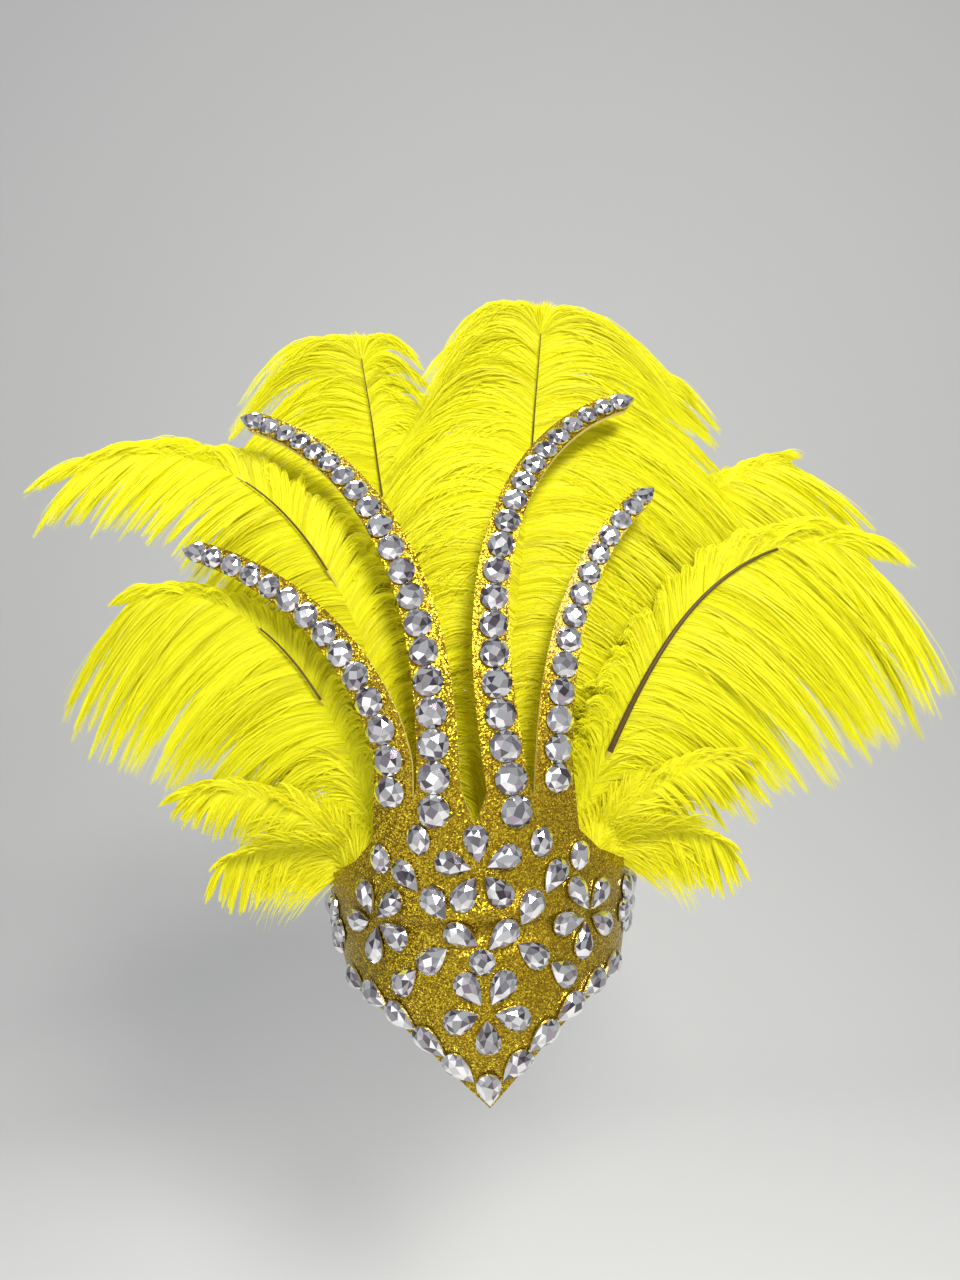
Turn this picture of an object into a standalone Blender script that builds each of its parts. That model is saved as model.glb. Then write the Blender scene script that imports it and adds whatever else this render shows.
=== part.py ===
"""Carnival feather headdress: a foam shield with four tines, cut stones, ostrich plumes and a head strap.

Metres, +Z up. The wearer faces -Y and +X is to the right of someone who looks at the front. The origin is
the middle of the head where the band goes round it. Places on the foam are given as (across, up): the
distance round the head from the middle of the front, and the height above the origin.
"""

import math

import bpy
import numpy as np
from mathutils import Matrix, Vector
from mathutils.geometry import delaunay_2d_cdt

# Head and foam sheet
HEAD_HALF_WIDTH = 0.086
HEAD_HALF_LENGTH = 0.095
FOAM_THICKNESS = 0.002
FOAM_FACET = 0.0100
POINT_DROP = 0.093
POINT_TUCK = 0.010
SLOT_RISE = 0.049
TINE_RISE = 0.275
TINE_SET_BACK = 0.076
WING_SPAN = 0.128
WING_TOP = 0.016
WING_BOTTOM = 0.030
SHOULDER_RISE = 0.042
SHOULDER_ACROSS = 0.056
CREASE_HEIGHT = -0.003
CREASE_DEPTH = 0.0035
CREASE_WIDTH = 0.008
CREASE_SPAN = 0.055
FORM_SOFTENING = 0.010
RIDGE_SHARE = 0.6
RIDGE_OFFSET = 1.35
PROBE_STEP = 0.0005
FOAM_GRID_SHARE = 1.25
FOAM_EDGE_SHARE = 0.55
SHARP_ANGLE = 35.0

# Clearances
GLUE_GAP = 0.0005
BACK_GAP = 0.0002
FUSE_OVERLAP = 0.0006

# The foam's form. Heights are shares of POINT_DROP below the origin and of TINE_RISE above it.
# width: of HEAD_HALF_WIDTH. wrap: of HEAD_HALF_LENGTH. tuck: of POINT_TUCK. lean: of TINE_SET_BACK.
FORM_LEVELS = (
    # height, width, wrap, tuck, lean
    (-1.00, 0.72, 0.66, 1.00, 0.00),
    (-0.54, 0.87, 0.84, -0.30, 0.00),
    (0.00, 1.00, 0.98, 0.00, 0.00),
    (0.18, 1.02, 0.85, 0.00, 0.00),
    (0.29, 1.16, 0.66, 0.00, 0.02),
    (0.44, 1.62, 0.53, 0.00, 0.08),
    (0.73, 2.55, 0.42, 0.00, 0.38),
    (0.87, 2.80, 0.42, 0.00, 0.67),
    (1.00, 3.00, 0.42, 0.00, 1.00),
)

# The lower rim from the wing's end to the point. across: share of WING_SPAN. down: share of POINT_DROP.
LOWER_RIM = (
    # across, down
    (0.90, 0.385),
    (0.70, 0.42),
    (0.52, 0.455),
    (0.375, 0.515),
    (0.235, 0.655),
    (0.115, 0.825),
)
RIM_STONE_INSET = 0.0055

# The wing's upper edge from the shoulder to the wing's end. across: of WING_SPAN. up: of SHOULDER_RISE.
WING_EDGE = (
    # across, up
    (0.55, 0.70),
    (0.74, 0.46),
)

# Tines. lean is the angle from upright in degrees, turned by bend from root to tip, positive to the right.
# inner is +1 where the tine's bare foam margin lies on its right.
TINES = {
    # across, up, length, root lean, tip lean, bend, inner, stones
    "outer_left": (-0.0426, 0.0672, 0.182, 11.0, -75.0, 0.66, 1, 14),
    "inner_left": (-0.0198, 0.0574, 0.254, 3.5, -71.3, 1.60, 1, 20),
    "inner_right": (0.0209, 0.0552, 0.251, -7.3, 77.4, 2.10, -1, 20),
    "outer_right": (0.0437, 0.0698, 0.159, 2.9, 54.5, 1.65, -1, 14),
}
TINE_MOUTH = 0.010
TINE_OUTER_MARGIN = 0.0010
TINE_INNER_MARGIN = 0.0048
TINE_TIP_MARGIN = 0.0008
TINE_STATIONS = 22
TINE_LINE_STATIONS = 96
LINE_FINENESS = 8
TIP_REACH_SHARE = 0.75
SLOT_BOTTOMS = (
    # across, up
    (-0.0305, 0.063),
    (0.0000, SLOT_RISE),
    (0.0305, 0.061),
)

# Cut stones
STONE_ROUND = 0.0128
STONE_TAPER = 0.68
PEAR_LENGTH = 0.0185
PEAR_WIDTH = 0.0127
PEAR_BOW = 0.03
TIP_PEAR_SHARE = 1.3
RIM_PEAR_LENGTH = 0.0200
OVAL_LENGTH = 0.0150
OVAL_WIDTH = 0.0122
STONE_HEIGHT_SHARE = 0.32
GIRDLE_SHARE = 0.30
TABLE_SHARE = 0.56
ROW_STONE_SIDES = 8
STONE_SIDES = 10

PETALS = 5
PETAL_RADIUS = 0.0130
FLOWERS = {
    # across, up, angle of the first petal
    "upper": (0.001, 0.028, 93.0),
    "left": (-0.056, 0.001, 116.0),
    "right": (0.058, -0.002, 113.0),
    "lower": (0.001, -0.040, 126.0),
}
TEMPLE_FLOWERS = {
    # across, up, angle of the first petal
    "left": (-0.105, -0.010, 60.0),
    "right": (0.105, -0.007, 120.0),
}
CHAIN_STONES = {
    # across, up, angle that its point faces
    "upper_left_1": (-0.036, 0.025, -48.0),
    "upper_left_2": (-0.021, 0.012, -52.0),
    "upper_left_3": (-0.009, -0.003, -30.0),
    "upper_right_1": (0.039, 0.021, -128.0),
    "upper_right_2": (0.025, 0.008, -128.0),
    "upper_right_3": (0.010, -0.004, -140.0),
    "lower_left_1": (-0.024, -0.015, 36.0),
    "lower_left_2": (-0.040, -0.027, 42.0),
    "lower_right_1": (0.025, -0.015, 142.0),
    "lower_right_2": (0.041, -0.027, 140.0),
}
OVAL_STONES = {
    # across, up, angle of its long side
    "root_left": (-0.0285, 0.0435, 100.0),
    "root_right": (0.033, 0.039, 82.0),
    "shoulder_left": (-0.051, 0.033, 96.0),
    "shoulder_right": (0.055, 0.029, 84.0),
}
MIDDLE_STONE_UP = -0.0165
POINT_STONE_RISE = 0.0115
RIM_STONES = 5
RIM_FIRST_STONE = 0.0275

# Plumes. Roots are (x, z) behind the foam and leans are as for the tines. left, right: the longest barbs.
# tip spread: the angle between the shaft and the last barbs in degrees.
PLUMES = {
    # x, z, length, root lean, tip lean, bend, vane start, left, right, droop, tip spread, layer, locks
    "plume_top_centre": (-0.0012, 0.012, 0.316, 11.8, 7.2, 1.52, 0.34, 0.132, 0.134, 0.82, 50, 3.8, 7),
    "plume_left_centre": (-0.0064, 0.012, 0.308, -10.8, -6.0, 1.85, 0.27, 0.132, 0.079, 0.79, 46, 5.1, 7),
    "plume_left_upper": (-0.028, 0.012, 0.349, -7.8, -104.0, 2.17, 0.24, 0.049, 0.057, 0.37, 24, 3, 7),
    "plume_left_lower": (-0.0497, 0.016, 0.219, -8.7, -91.1, 1.84, 0.26, 0.078, 0.036, 0.49, 30, 2, 7),
    "plume_right_centre": (0.0111, 0.012, 0.306, 15.4, 27.4, 0.89, 0.26, 0.057, 0.057, 0.85, 44, 7, 7),
    "plume_right_upper": (0.0224, 0.012, 0.291, 10.9, 71.8, 1.41, 0.26, 0.04, 0.081, 0.48, 40, 6, 7),
    "plume_right_inner": (0.034, 0.014, 0.145, 17.0, 44.0, 1.0, 0.4, 0.034, 0.038, 0.4, 40, 3, 5),
    "plume_right_lower": (0.0431, 0.016, 0.25, 24.1, 100.0, 2.68, 0.27, 0.059, 0.092, 0.57, 28, 2, 8),
}
SIDE_FEATHERS = {
    # x, z, length, root lean, tip lean, bend, vane start, left, right, droop, tip spread, layer, locks
    "side_feathers_left_upper": (-0.057, 0.018, 0.108, -26.0, -92.0, 0.9, 0.42, 0.024, 0.03, 0.25, 22, 1, 4),
    "side_feathers_left_lower": (-0.063, 0.016, 0.08, -42.0, -112.0, 0.8, 0.48, 0.028, 0.014, 0.25, 22, 0, 4),
    "side_feathers_right_upper": (0.056, 0.019, 0.098, 27.0, 82.0, 0.9, 0.42, 0.03, 0.024, 0.25, 22, 1, 4),
    "side_feathers_right_lower": (0.064, 0.016, 0.076, 42.0, 118.0, 0.8, 0.48, 0.014, 0.028, 0.25, 22, 0, 4),
}
LAYER_STEP = 0.0056
LAYER_BASE = 0.0030
LAYER_TURN_FROM = 0.024
LAYER_TURN_TO = 0.058
PLUME_BOW_SHARE = 0.62
QUILL_BOW_SHARE = 0.87
PLUME_FLARE = 0.06
SHAFT_WIDTH = 0.0032
SHAFT_THICKNESS = 0.0030
SHAFT_TAPER = 0.55
SHAFT_THINNING = 0.50
SHAFT_LINE_STATIONS = 60
FEATHER_FLOOR = -0.0186
LOCK_THICKNESS = 0.0012
QUILL_STATIONS = 5
BARB_ROOT_ANGLE = 62.0
UPPER_BARB_FLOP = 0.45
VANE_SHORTEST = 0.62
VANE_SWELL_FROM = 0.07
VANE_SWELL_SPAN = 0.82
# A lock's stations from shaft to tip. along: share of the barb's length. full: of the lock's width there.
LOCK_STATIONS = (
    # along, full
    (0.28, 1.00),
    (0.80, 0.84),
)

# Head strap
STRAP_WIDTH = 0.005
STRAP_THICKNESS = 0.001
STRAP_GAP = 0.0006
STRAP_LAP = 0.018
STRAP_HEIGHT = -0.007
STRAP_STATIONS = 34

# Finishes: colour, metallic, roughness
FINISHES = {
    "glitter_foam": ((0.62, 0.42, 0.03, 1.0), 0.55, 0.42),
    "stone": ((0.78, 0.79, 0.84, 1.0), 0.85, 0.12),
    "plume": ((0.93, 0.83, 0.03, 1.0), 0.0, 0.75),
    "side_feather": ((0.95, 0.87, 0.06, 1.0), 0.0, 0.75),
    "strap": ((0.78, 0.73, 0.58, 1.0), 0.0, 0.8),
}


def clear_scene():
    for obj in list(bpy.data.objects):
        bpy.data.objects.remove(obj, do_unlink=True)


def finish(name, slot):
    """A material of its own for the piece called name, with the slot's colour and shine."""
    colour, metallic, roughness = FINISHES[slot]
    material = bpy.data.materials.new(name + "_finish")
    material.use_nodes = True
    shader = material.node_tree.nodes["Principled BSDF"]
    shader.inputs["Base Color"].default_value = colour
    shader.inputs["Metallic"].default_value = metallic
    shader.inputs["Roughness"].default_value = roughness
    material.diffuse_color = colour
    return material


def add_piece(name, mesh, slot):
    piece = bpy.data.objects.new(name, mesh)
    piece.data.materials.clear()
    piece.data.materials.append(finish(name, slot))
    bpy.context.scene.collection.objects.link(piece)
    return piece


def mesh_from(name, points, faces):
    mesh = bpy.data.meshes.new(name)
    mesh.from_pydata([tuple(p) for p in points], [], faces)
    mesh.validate()
    return mesh


def softened(mesh):
    """The mesh shaded smooth, with its real edges kept sharp."""
    mesh.shade_smooth()
    mesh.set_sharp_from_angle(angle=math.radians(SHARP_ANGLE))
    return mesh


# The foam's form


def form_column(up, column):
    """A column of FORM_LEVELS at the height up, softened so that no level shows as a kink."""
    heights = [share * (POINT_DROP if share < 0 else TINE_RISE) for share, *_ in FORM_LEVELS]
    values = [row[column] for row in FORM_LEVELS]
    nearby = up + FORM_SOFTENING * np.array((-1.0, -0.5, 0.0, 0.5, 1.0))
    return float(np.interp(nearby, heights, values).mean())


def set_back(up):
    """How far the middle of the front lies behind the head's own front line."""
    return POINT_TUCK * form_column(up, 3) + TINE_SET_BACK * form_column(up, 4)


def crease(across, up):
    """The fold over the brow: a valley with a low ridge above it, which fades towards the temples."""
    place = (up - CREASE_HEIGHT) / CREASE_WIDTH
    fade = 1.0 / (1.0 + (across / CREASE_SPAN) ** 4)
    valley = math.exp(-(place**2))
    ridge = RIDGE_SHARE * math.exp(-((place - RIDGE_OFFSET) ** 2))
    return CREASE_DEPTH * fade * (valley - ridge)


def skin(across, up):
    """The point of the foam's outer face at (across, up)."""
    half_width = HEAD_HALF_WIDTH * form_column(up, 1)
    wrap = HEAD_HALF_LENGTH * form_column(up, 2)
    turn = across / half_width
    front = -HEAD_HALF_LENGTH + set_back(up) + crease(across, up)
    return Vector((half_width * math.sin(turn), front + wrap * (1.0 - math.cos(turn)), up))


def skin_frame(across, up):
    """The outer face's point, direction across, direction up and outward normal at (across, up)."""
    right = skin(across + PROBE_STEP, up) - skin(across - PROBE_STEP, up)
    rise = skin(across, up + PROBE_STEP) - skin(across, up - PROBE_STEP)
    normal = right.cross(rise).normalized()
    right.normalize()
    return skin(across, up), right, normal.cross(right), normal


def on_form(across, up, lift):
    point, _, _, normal = skin_frame(across, up)
    return point + normal * lift


# Bent lines, for tines and feather shafts


def bent_line(start, length, root_lean, tip_lean, bend, stations):
    """Points and leans (radians) along a line that turns from root_lean to tip_lean, in a flat plane."""
    x, z = start
    points = [(x, z)]
    leans = [math.radians(root_lean)]
    steps = stations * LINE_FINENESS
    for step in range(1, steps + 1):
        share = (step - 0.5) / steps
        lean = math.radians(root_lean + (tip_lean - root_lean) * share**bend)
        x += math.sin(lean) * length / steps
        z += math.cos(lean) * length / steps
        if step % LINE_FINENESS == 0:
            points.append((x, z))
            leans.append(lean)
    return points, leans


def tine_sizes(stones):
    """Diameters of a tine's stones from root to tip, before they are fitted to its length."""
    shares = np.linspace(1.0, STONE_TAPER, stones)
    return shares / shares.mean()


def tine_layout(name):
    """(across, up, lean, diameter) of each stone of a tine, spaced so that each meets the next."""
    x, z, length, root_lean, tip_lean, bend, _, stones = TINES[name]
    line, leans = bent_line((x, z), length, root_lean, tip_lean, bend, TINE_LINE_STATIONS)
    places = [skin(*p) for p in line]
    run = np.concatenate([[0.0], np.cumsum([(b - a).length for a, b in zip(places, places[1:])])])
    shares = tine_sizes(stones)
    steps = (shares[1:] + shares[:-1]) / 2.0
    pitch = run[-1] / steps.sum()
    at = np.concatenate([[0.0], np.cumsum(steps)]) * pitch
    rows = []
    for distance, share in zip(at, shares):
        across = float(np.interp(distance, run, [p[0] for p in line]))
        up = float(np.interp(distance, run, [p[1] for p in line]))
        lean = float(np.interp(distance, run, leans))
        rows.append((across, up, lean, float(share * pitch)))
    return rows


def tine_edges(name):
    """A tine's left and right edges from its mouth to its tip as (across, up) points, and its tip."""
    x, z, length, root_lean, tip_lean, bend, inner, _ = TINES[name]
    line, leans = bent_line((x, z), length, root_lean, tip_lean, bend, TINE_STATIONS)
    rows = tine_layout(name)
    stone_ups = np.linspace(0.0, 1.0, len(rows))
    radii = [row[3] / 2.0 for row in rows]
    left, right = [], []
    for station, ((across, up), lean) in enumerate(zip(line, leans)):
        share = station / TINE_STATIONS
        if share * length < TINE_MOUTH:
            continue
        radius = float(np.interp(share, stone_ups, radii))
        bare = TINE_INNER_MARGIN + (TINE_TIP_MARGIN - TINE_INNER_MARGIN) * share
        margins = {inner: bare, -inner: TINE_OUTER_MARGIN * (1.0 - share)}
        for side, edge in ((-1, left), (1, right)):
            reach = side * (radius + margins[side])
            edge.append((across + reach * math.cos(lean), up - reach * math.sin(lean)))
    return left, right, tine_tip(name)


def tine_tip(name):
    """The tine's end, under the point of its tip stone."""
    across, up, lean, size = tine_layout(name)[-1]
    reach = TIP_REACH_SHARE * size
    return across + reach * math.sin(lean), up + reach * math.cos(lean)


# The foam sheet


def lower_rim(side):
    """The lower rim on one side from the wing's end inwards, without the point."""
    rows = [(WING_SPAN, -WING_BOTTOM)] + [(a * WING_SPAN, -d * POINT_DROP) for a, d in LOWER_RIM]
    return [(side * across, up) for across, up in rows]


def wing_edge(side):
    """The wing's upper edge on one side, from the wing's end to the shoulder."""
    rows = [(WING_SPAN, WING_TOP)]
    rows += [(a * WING_SPAN, u * SHOULDER_RISE) for a, u in reversed(WING_EDGE)]
    rows.append((SHOULDER_ACROSS, SHOULDER_RISE))
    return [(side * across, up) for across, up in rows]


def foam_outline():
    """The sheet's outline as (across, up) points: the rim, then up and down the edges of each tine."""
    outline = [(0.0, -POINT_DROP)] + lower_rim(-1)[::-1] + wing_edge(-1)
    for index, name in enumerate(TINES):
        left, right, tip = tine_edges(name)
        outline += left + [tip] + right[::-1]
        if index < len(SLOT_BOTTOMS):
            outline.append(SLOT_BOTTOMS[index])
    return outline + wing_edge(1)[::-1] + lower_rim(1)


def subdivided(outline, longest):
    """The closed outline with no side longer than longest."""
    points = []
    for (x0, z0), (x1, z1) in zip(outline, outline[1:] + outline[:1]):
        parts = max(1, math.ceil(math.hypot(x1 - x0, z1 - z0) / longest))
        points += [(x0 + (x1 - x0) * i / parts, z0 + (z1 - z0) * i / parts) for i in range(parts)]
    return points


def inside(point, outline):
    x, z = point
    odd = False
    for (x0, z0), (x1, z1) in zip(outline, outline[1:] + outline[:1]):
        if (z0 > z) != (z1 > z) and x < (x1 - x0) * (z - z0) / (z1 - z0) + x0:
            odd = not odd
    return odd


def inner_points(outline, pitch):
    """A triangular grid of points inside the outline and clear of its edge, with a row along the crease."""
    edge = np.array(outline)
    low, high = edge.min(axis=0), edge.max(axis=0)
    rise = pitch * math.sqrt(0.75)
    points = []
    for row in range(int((low[1] - CREASE_HEIGHT) / rise), int((high[1] - CREASE_HEIGHT) / rise) + 1):
        z = CREASE_HEIGHT + row * rise
        for column in range(int((high[0] - low[0]) / pitch) + 1):
            x = low[0] + (column + 0.5 * (row % 2)) * pitch
            clear = np.hypot(edge[:, 0] - x, edge[:, 1] - z).min() > FOAM_EDGE_SHARE * pitch
            if clear and inside((x, z), outline):
                points.append((x, z))
    return points


def foam_mesh():
    """The flat pattern in triangles, laid on the form and closed with its inner face and cut edge."""
    rim = subdivided(foam_outline(), FOAM_FACET)
    flat = rim + inner_points(rim, FOAM_FACET * FOAM_GRID_SHARE)
    border = [(i, (i + 1) % len(rim)) for i in range(len(rim))]
    points, _, faces, _, _, _ = delaunay_2d_cdt([Vector(p) for p in flat], border, [], 1, 1e-7)
    count = len(points)
    outer = [on_form(p[0], p[1], 0.0) for p in points]
    inner = [on_form(p[0], p[1], -FOAM_THICKNESS) for p in points]
    closed = [tuple(f) for f in faces] + [tuple(i + count for i in reversed(f)) for f in faces]
    used = {edge for f in faces for edge in zip(f, list(f[1:]) + [f[0]])}
    for a, b in sorted(used):
        if (b, a) not in used:
            closed.append((b, a, a + count, b + count))
    return softened(mesh_from("foam_shield", outer + inner, closed))


# Cut stones


def round_outline(width, sides):
    angles = [2.0 * math.pi * (i + 0.5) / sides for i in range(sides)]
    return [(width / 2.0 * math.cos(a), width / 2.0 * math.sin(a)) for a in angles]


def oval_outline(length, width, sides):
    return [(x * length / width, y) for x, y in round_outline(width, sides)]


def pear_outline(length, width, sides):
    """A round end and two gently bowed sides that meet in a point at +X."""
    radius = width / 2.0
    centre = radius - length / 2.0
    reach = length / 2.0 - centre
    shoulder = math.acos(radius / reach)
    arc = sides - 3
    angles = [shoulder + (2.0 * math.pi - 2.0 * shoulder) * i / (arc - 1) for i in range(arc)]
    points = [(centre + radius * math.cos(a), radius * math.sin(a)) for a in angles]
    tip = (length / 2.0, 0.0)
    middle = ((points[0][0] + tip[0]) / 2.0 + PEAR_BOW * length, points[0][1] / 2.0 + PEAR_BOW * width)
    return [middle] + points + [(middle[0], -middle[1]), tip]


def stone_rings(outline, girdle):
    """Rings of a cut stone from its flat back on Z = 0 to its table, by way of its girdle if it has one."""
    height = STONE_HEIGHT_SHARE * 2.0 * max(abs(y) for _, y in outline)
    levels = [(0.0, 1.0)] + ([(GIRDLE_SHARE, 1.0)] if girdle else []) + [(1.0, TABLE_SHARE)]
    return [[Vector((x * size, y * size, height * level)) for x, y in outline] for level, size in levels]


def stone_faces(sides, rings):
    top = (rings - 1) * sides
    faces = [tuple(reversed(range(sides))), tuple(range(top, top + sides))]
    for ring in range(0, top, sides):
        for i in range(sides):
            j = (i + 1) % sides
            faces.append((ring + i, ring + j, ring + sides + j, ring + sides + i))
    return faces


def seat_lift(across, up, outline, placed):
    """How far a stone's flat back stands off the skin so that no point under it touches the foam."""
    origin, normal = placed.translation, placed.col[2].xyz
    highest = 0.0
    for x, y in outline:
        for share in (0.5, 1.0):
            corner = placed @ Vector((x * share, y * share, 0.0))
            _, right, rise, _ = skin_frame(across, up)
            offset = corner - origin
            below = skin(across + offset.dot(right), up + offset.dot(rise) * rise.z)
            highest = max(highest, (below - origin).dot(normal))
    return highest + GLUE_GAP


def stone_matrix(across, up, angle, outline):
    """Where a stone lies on the foam, with its +X turned by angle (radians) from the direction across."""
    point, right, rise, normal = skin_frame(across, up)
    ahead = right * math.cos(angle) + rise * math.sin(angle)
    placed = Matrix.Identity(4)
    placed.col[0] = ahead.to_4d()
    placed.col[1] = normal.cross(ahead).to_4d()
    placed.col[2] = normal.to_4d()
    for column in range(3):
        placed.col[column][3] = 0.0
    placed.translation = point
    placed.translation = point + normal * seat_lift(across, up, outline, placed)
    return placed


def stone_mesh(name, outline, across, up, angle, girdle=True):
    placed = stone_matrix(across, up, angle, outline)
    rings = stone_rings(outline, girdle)
    points = [placed @ p for ring in rings for p in ring]
    return mesh_from(name, points, stone_faces(len(outline), len(rings)))


def add_stone(name, outline, across, up, degrees):
    add_piece(name, stone_mesh(name, outline, across, up, math.radians(degrees)), "stone")


def fused(name, meshes):
    """One mesh from stones that overlap a little, joined by Boolean unions."""
    group = bpy.data.collections.new(name + "_stones")
    first = bpy.data.objects.new(name + "_base", meshes[0])
    bpy.context.scene.collection.objects.link(first)
    bpy.context.scene.collection.children.link(group)
    for mesh in meshes[1:]:
        group.objects.link(bpy.data.objects.new(mesh.name, mesh))
    join = first.modifiers.new("join", "BOOLEAN")
    join.operation = "UNION"
    join.solver = "EXACT"
    join.operand_type = "COLLECTION"
    join.collection = group
    graph = bpy.context.evaluated_depsgraph_get()
    result = bpy.data.meshes.new_from_object(first.evaluated_get(graph))
    for obj in list(group.objects) + [first]:
        bpy.data.objects.remove(obj, do_unlink=True)
    bpy.data.collections.remove(group)
    return result


def tine_stone_meshes(name):
    meshes = []
    rows = tine_layout(name)
    for index, (across, up, lean, size) in enumerate(rows):
        width = size + 2.0 * FUSE_OVERLAP
        angle = math.pi / 2.0 - lean
        if index == len(rows) - 1:
            outline = pear_outline(TIP_PEAR_SHARE * width, width, STONE_SIDES)
        else:
            outline = round_outline(width / math.cos(math.pi / ROW_STONE_SIDES), ROW_STONE_SIDES)
            angle += math.pi / ROW_STONE_SIDES
        meshes.append(stone_mesh(f"{name}_{index}", outline, across, up, angle, girdle=False))
    return meshes


def rim_line(side):
    """The line that the rim stones follow, from the point outwards, inset from the foam's edge."""
    rim = [(0.0, -POINT_DROP)] + lower_rim(side)[::-1]
    points = []
    for (x0, z0), (x1, z1) in zip(rim, rim[1:]):
        length = math.hypot(x1 - x0, z1 - z0)
        nx, nz = -(z1 - z0) / length * side, (x1 - x0) / length * side
        points.append(((x0 + x1) / 2.0 + nx * RIM_STONE_INSET, (z0 + z1) / 2.0 + nz * RIM_STONE_INSET))
    return points


def rim_stone_meshes(side):
    """The drop stones along one side of the lower rim, each with its point towards the shield's point."""
    line = rim_line(side)
    places = [skin(*p) for p in line]
    run = np.concatenate([[0.0], np.cumsum([(b - a).length for a, b in zip(places, places[1:])])])
    start = float(np.interp(RIM_FIRST_STONE, [(p - skin(0.0, -POINT_DROP)).length for p in places], run))
    outline = pear_outline(RIM_PEAR_LENGTH, PEAR_WIDTH, STONE_SIDES)
    meshes = []
    for index in range(RIM_STONES):
        here, ahead = (
            [float(np.interp(start + d, run, [p[i] for p in line])) for i in (0, 1)]
            for d in (
                index * (RIM_PEAR_LENGTH - FUSE_OVERLAP),
                index * (RIM_PEAR_LENGTH - FUSE_OVERLAP) - RIM_PEAR_LENGTH / 2.0,
            )
        )
        angle = math.atan2(ahead[1] - here[1], ahead[0] - here[0])
        meshes.append(stone_mesh(f"rim_{side}_{index}", outline, here[0], here[1], angle))
    return meshes


def petal_places(across, up, first_angle, radius):
    """(across, up, degrees) of each petal stone round a flower's middle, its point facing inwards."""
    for petal in range(PETALS):
        degrees = first_angle - 360.0 / PETALS * petal
        away = math.radians(degrees)
        yield across + radius * math.cos(away), up + radius * math.sin(away), degrees + 180.0


def add_stones():
    for name in TINES:
        add_piece(f"stone_row_{name}", fused(name, tine_stone_meshes(name)), "stone")
    for side, word in ((-1, "left"), (1, "right")):
        add_piece(f"rim_row_{word}", fused(f"rim_{word}", rim_stone_meshes(side)), "stone")
    pear = pear_outline(PEAR_LENGTH, PEAR_WIDTH, STONE_SIDES)
    for word, (across, up, first_angle) in FLOWERS.items():
        for petal, place in enumerate(petal_places(across, up, first_angle, PETAL_RADIUS)):
            add_stone(f"petal_stone_{word}_{petal + 1}", pear, *place)
    for word, (across, up, first_angle) in TEMPLE_FLOWERS.items():
        meshes = [
            stone_mesh(f"temple_{word}_{index}", pear, x, z, math.radians(degrees))
            for index, (x, z, degrees) in enumerate(
                petal_places(across, up, first_angle, PEAR_LENGTH / 2.0 - FUSE_OVERLAP)
            )
        ]
        add_piece(f"temple_flower_{word}", fused(f"temple_{word}", meshes), "stone")
    for word, place in CHAIN_STONES.items():
        add_stone(f"chain_stone_{word}", pear, *place)
    oval = oval_outline(OVAL_LENGTH, OVAL_WIDTH, STONE_SIDES)
    for word, place in OVAL_STONES.items():
        add_stone(f"oval_stone_{word}", oval, *place)
    add_stone("middle_stone", round_outline(STONE_ROUND, STONE_SIDES), 0.0, MIDDLE_STONE_UP, 0.0)
    add_stone("point_stone", pear, 0.0, POINT_STONE_RISE - POINT_DROP, -90.0)


# Feathers


def smooth_step(low, high, value):
    share = min(1.0, max(0.0, (value - low) / (high - low)))
    return share * share * (3.0 - 2.0 * share)


def behind(x, z, layer):
    """The depth of a feather layer at (x, z): it follows the foam's back, then runs on almost flat."""
    level = max(z, FEATHER_FLOOR)
    half_width = HEAD_HALF_WIDTH * form_column(level, 1)
    wrap = HEAD_HALF_LENGTH * form_column(level, 2)
    turned = smooth_step(LAYER_TURN_FROM, LAYER_TURN_TO, z)
    widest = QUILL_BOW_SHARE + (PLUME_BOW_SHARE - QUILL_BOW_SHARE) * turned
    share = min(abs(x) / half_width, widest)
    bow = wrap * (1.0 - math.sqrt(1.0 - share * share))
    flare = PLUME_FLARE * max(0.0, abs(x) - widest * half_width)
    seat = (FOAM_THICKNESS + BACK_GAP + SHAFT_THICKNESS / 2.0) / math.sqrt(1.0 - share * share)
    away = (LAYER_BASE + LAYER_STEP * layer) * turned
    return -HEAD_HALF_LENGTH + set_back(level) + bow + flare + seat + away


def barb_point(shaft, lean, side, share, length, habit, along):
    """A point of the barb that leaves the shaft at a share of the vane, at a share of its own length."""
    droop, tip_spread = habit
    uppermost = max(0.0, -side * math.sin(lean))
    spread = math.radians(BARB_ROOT_ANGLE + (tip_spread - BARB_ROOT_ANGLE) * share**3)
    heading = lean + side * spread * (1.0 - UPPER_BARB_FLOP * uppermost)
    reach = length * along
    x = shaft[0] + reach * math.sin(heading)
    z = shaft[1] + reach * math.cos(heading) - droop * (1.0 - uppermost) * length * along**2
    return x, z


def vane_profile(share):
    """How long the barbs are along the vane: fullest near the middle, shorter at both ends."""
    swell = math.sin(math.pi * (VANE_SWELL_FROM + VANE_SWELL_SPAN * share))
    return VANE_SHORTEST + (1.0 - VANE_SHORTEST) * swell


class Sheet:
    """Points of a thin body in pairs, front and back, and its faces."""

    def __init__(self):
        self.points = []
        self.faces = []

    def pair(self, x, z, depth, thickness):
        self.points.append((x, depth - thickness / 2.0, z))
        self.points.append((x, depth + thickness / 2.0, z))
        return len(self.points) // 2 - 1

    def patch(self, *pairs):
        """The front over the pairs, given clockwise as seen from there, and the back, in the same triangles."""
        first = pairs[0]
        for a, b in zip(pairs[1:], pairs[2:]):
            self.faces.append((2 * b, 2 * a, 2 * first))
            self.faces.append((2 * first + 1, 2 * a + 1, 2 * b + 1))

    def wall(self, a, b):
        """The edge face from pair a to pair b, with the body on the right as seen from the front."""
        self.faces.append((2 * a, 2 * b, 2 * b + 1, 2 * a + 1))


def barb_end(end, side, habit, along):
    return barb_point(end["point"], end["lean"], side, end["share"], end["length"], habit, along)


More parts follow.
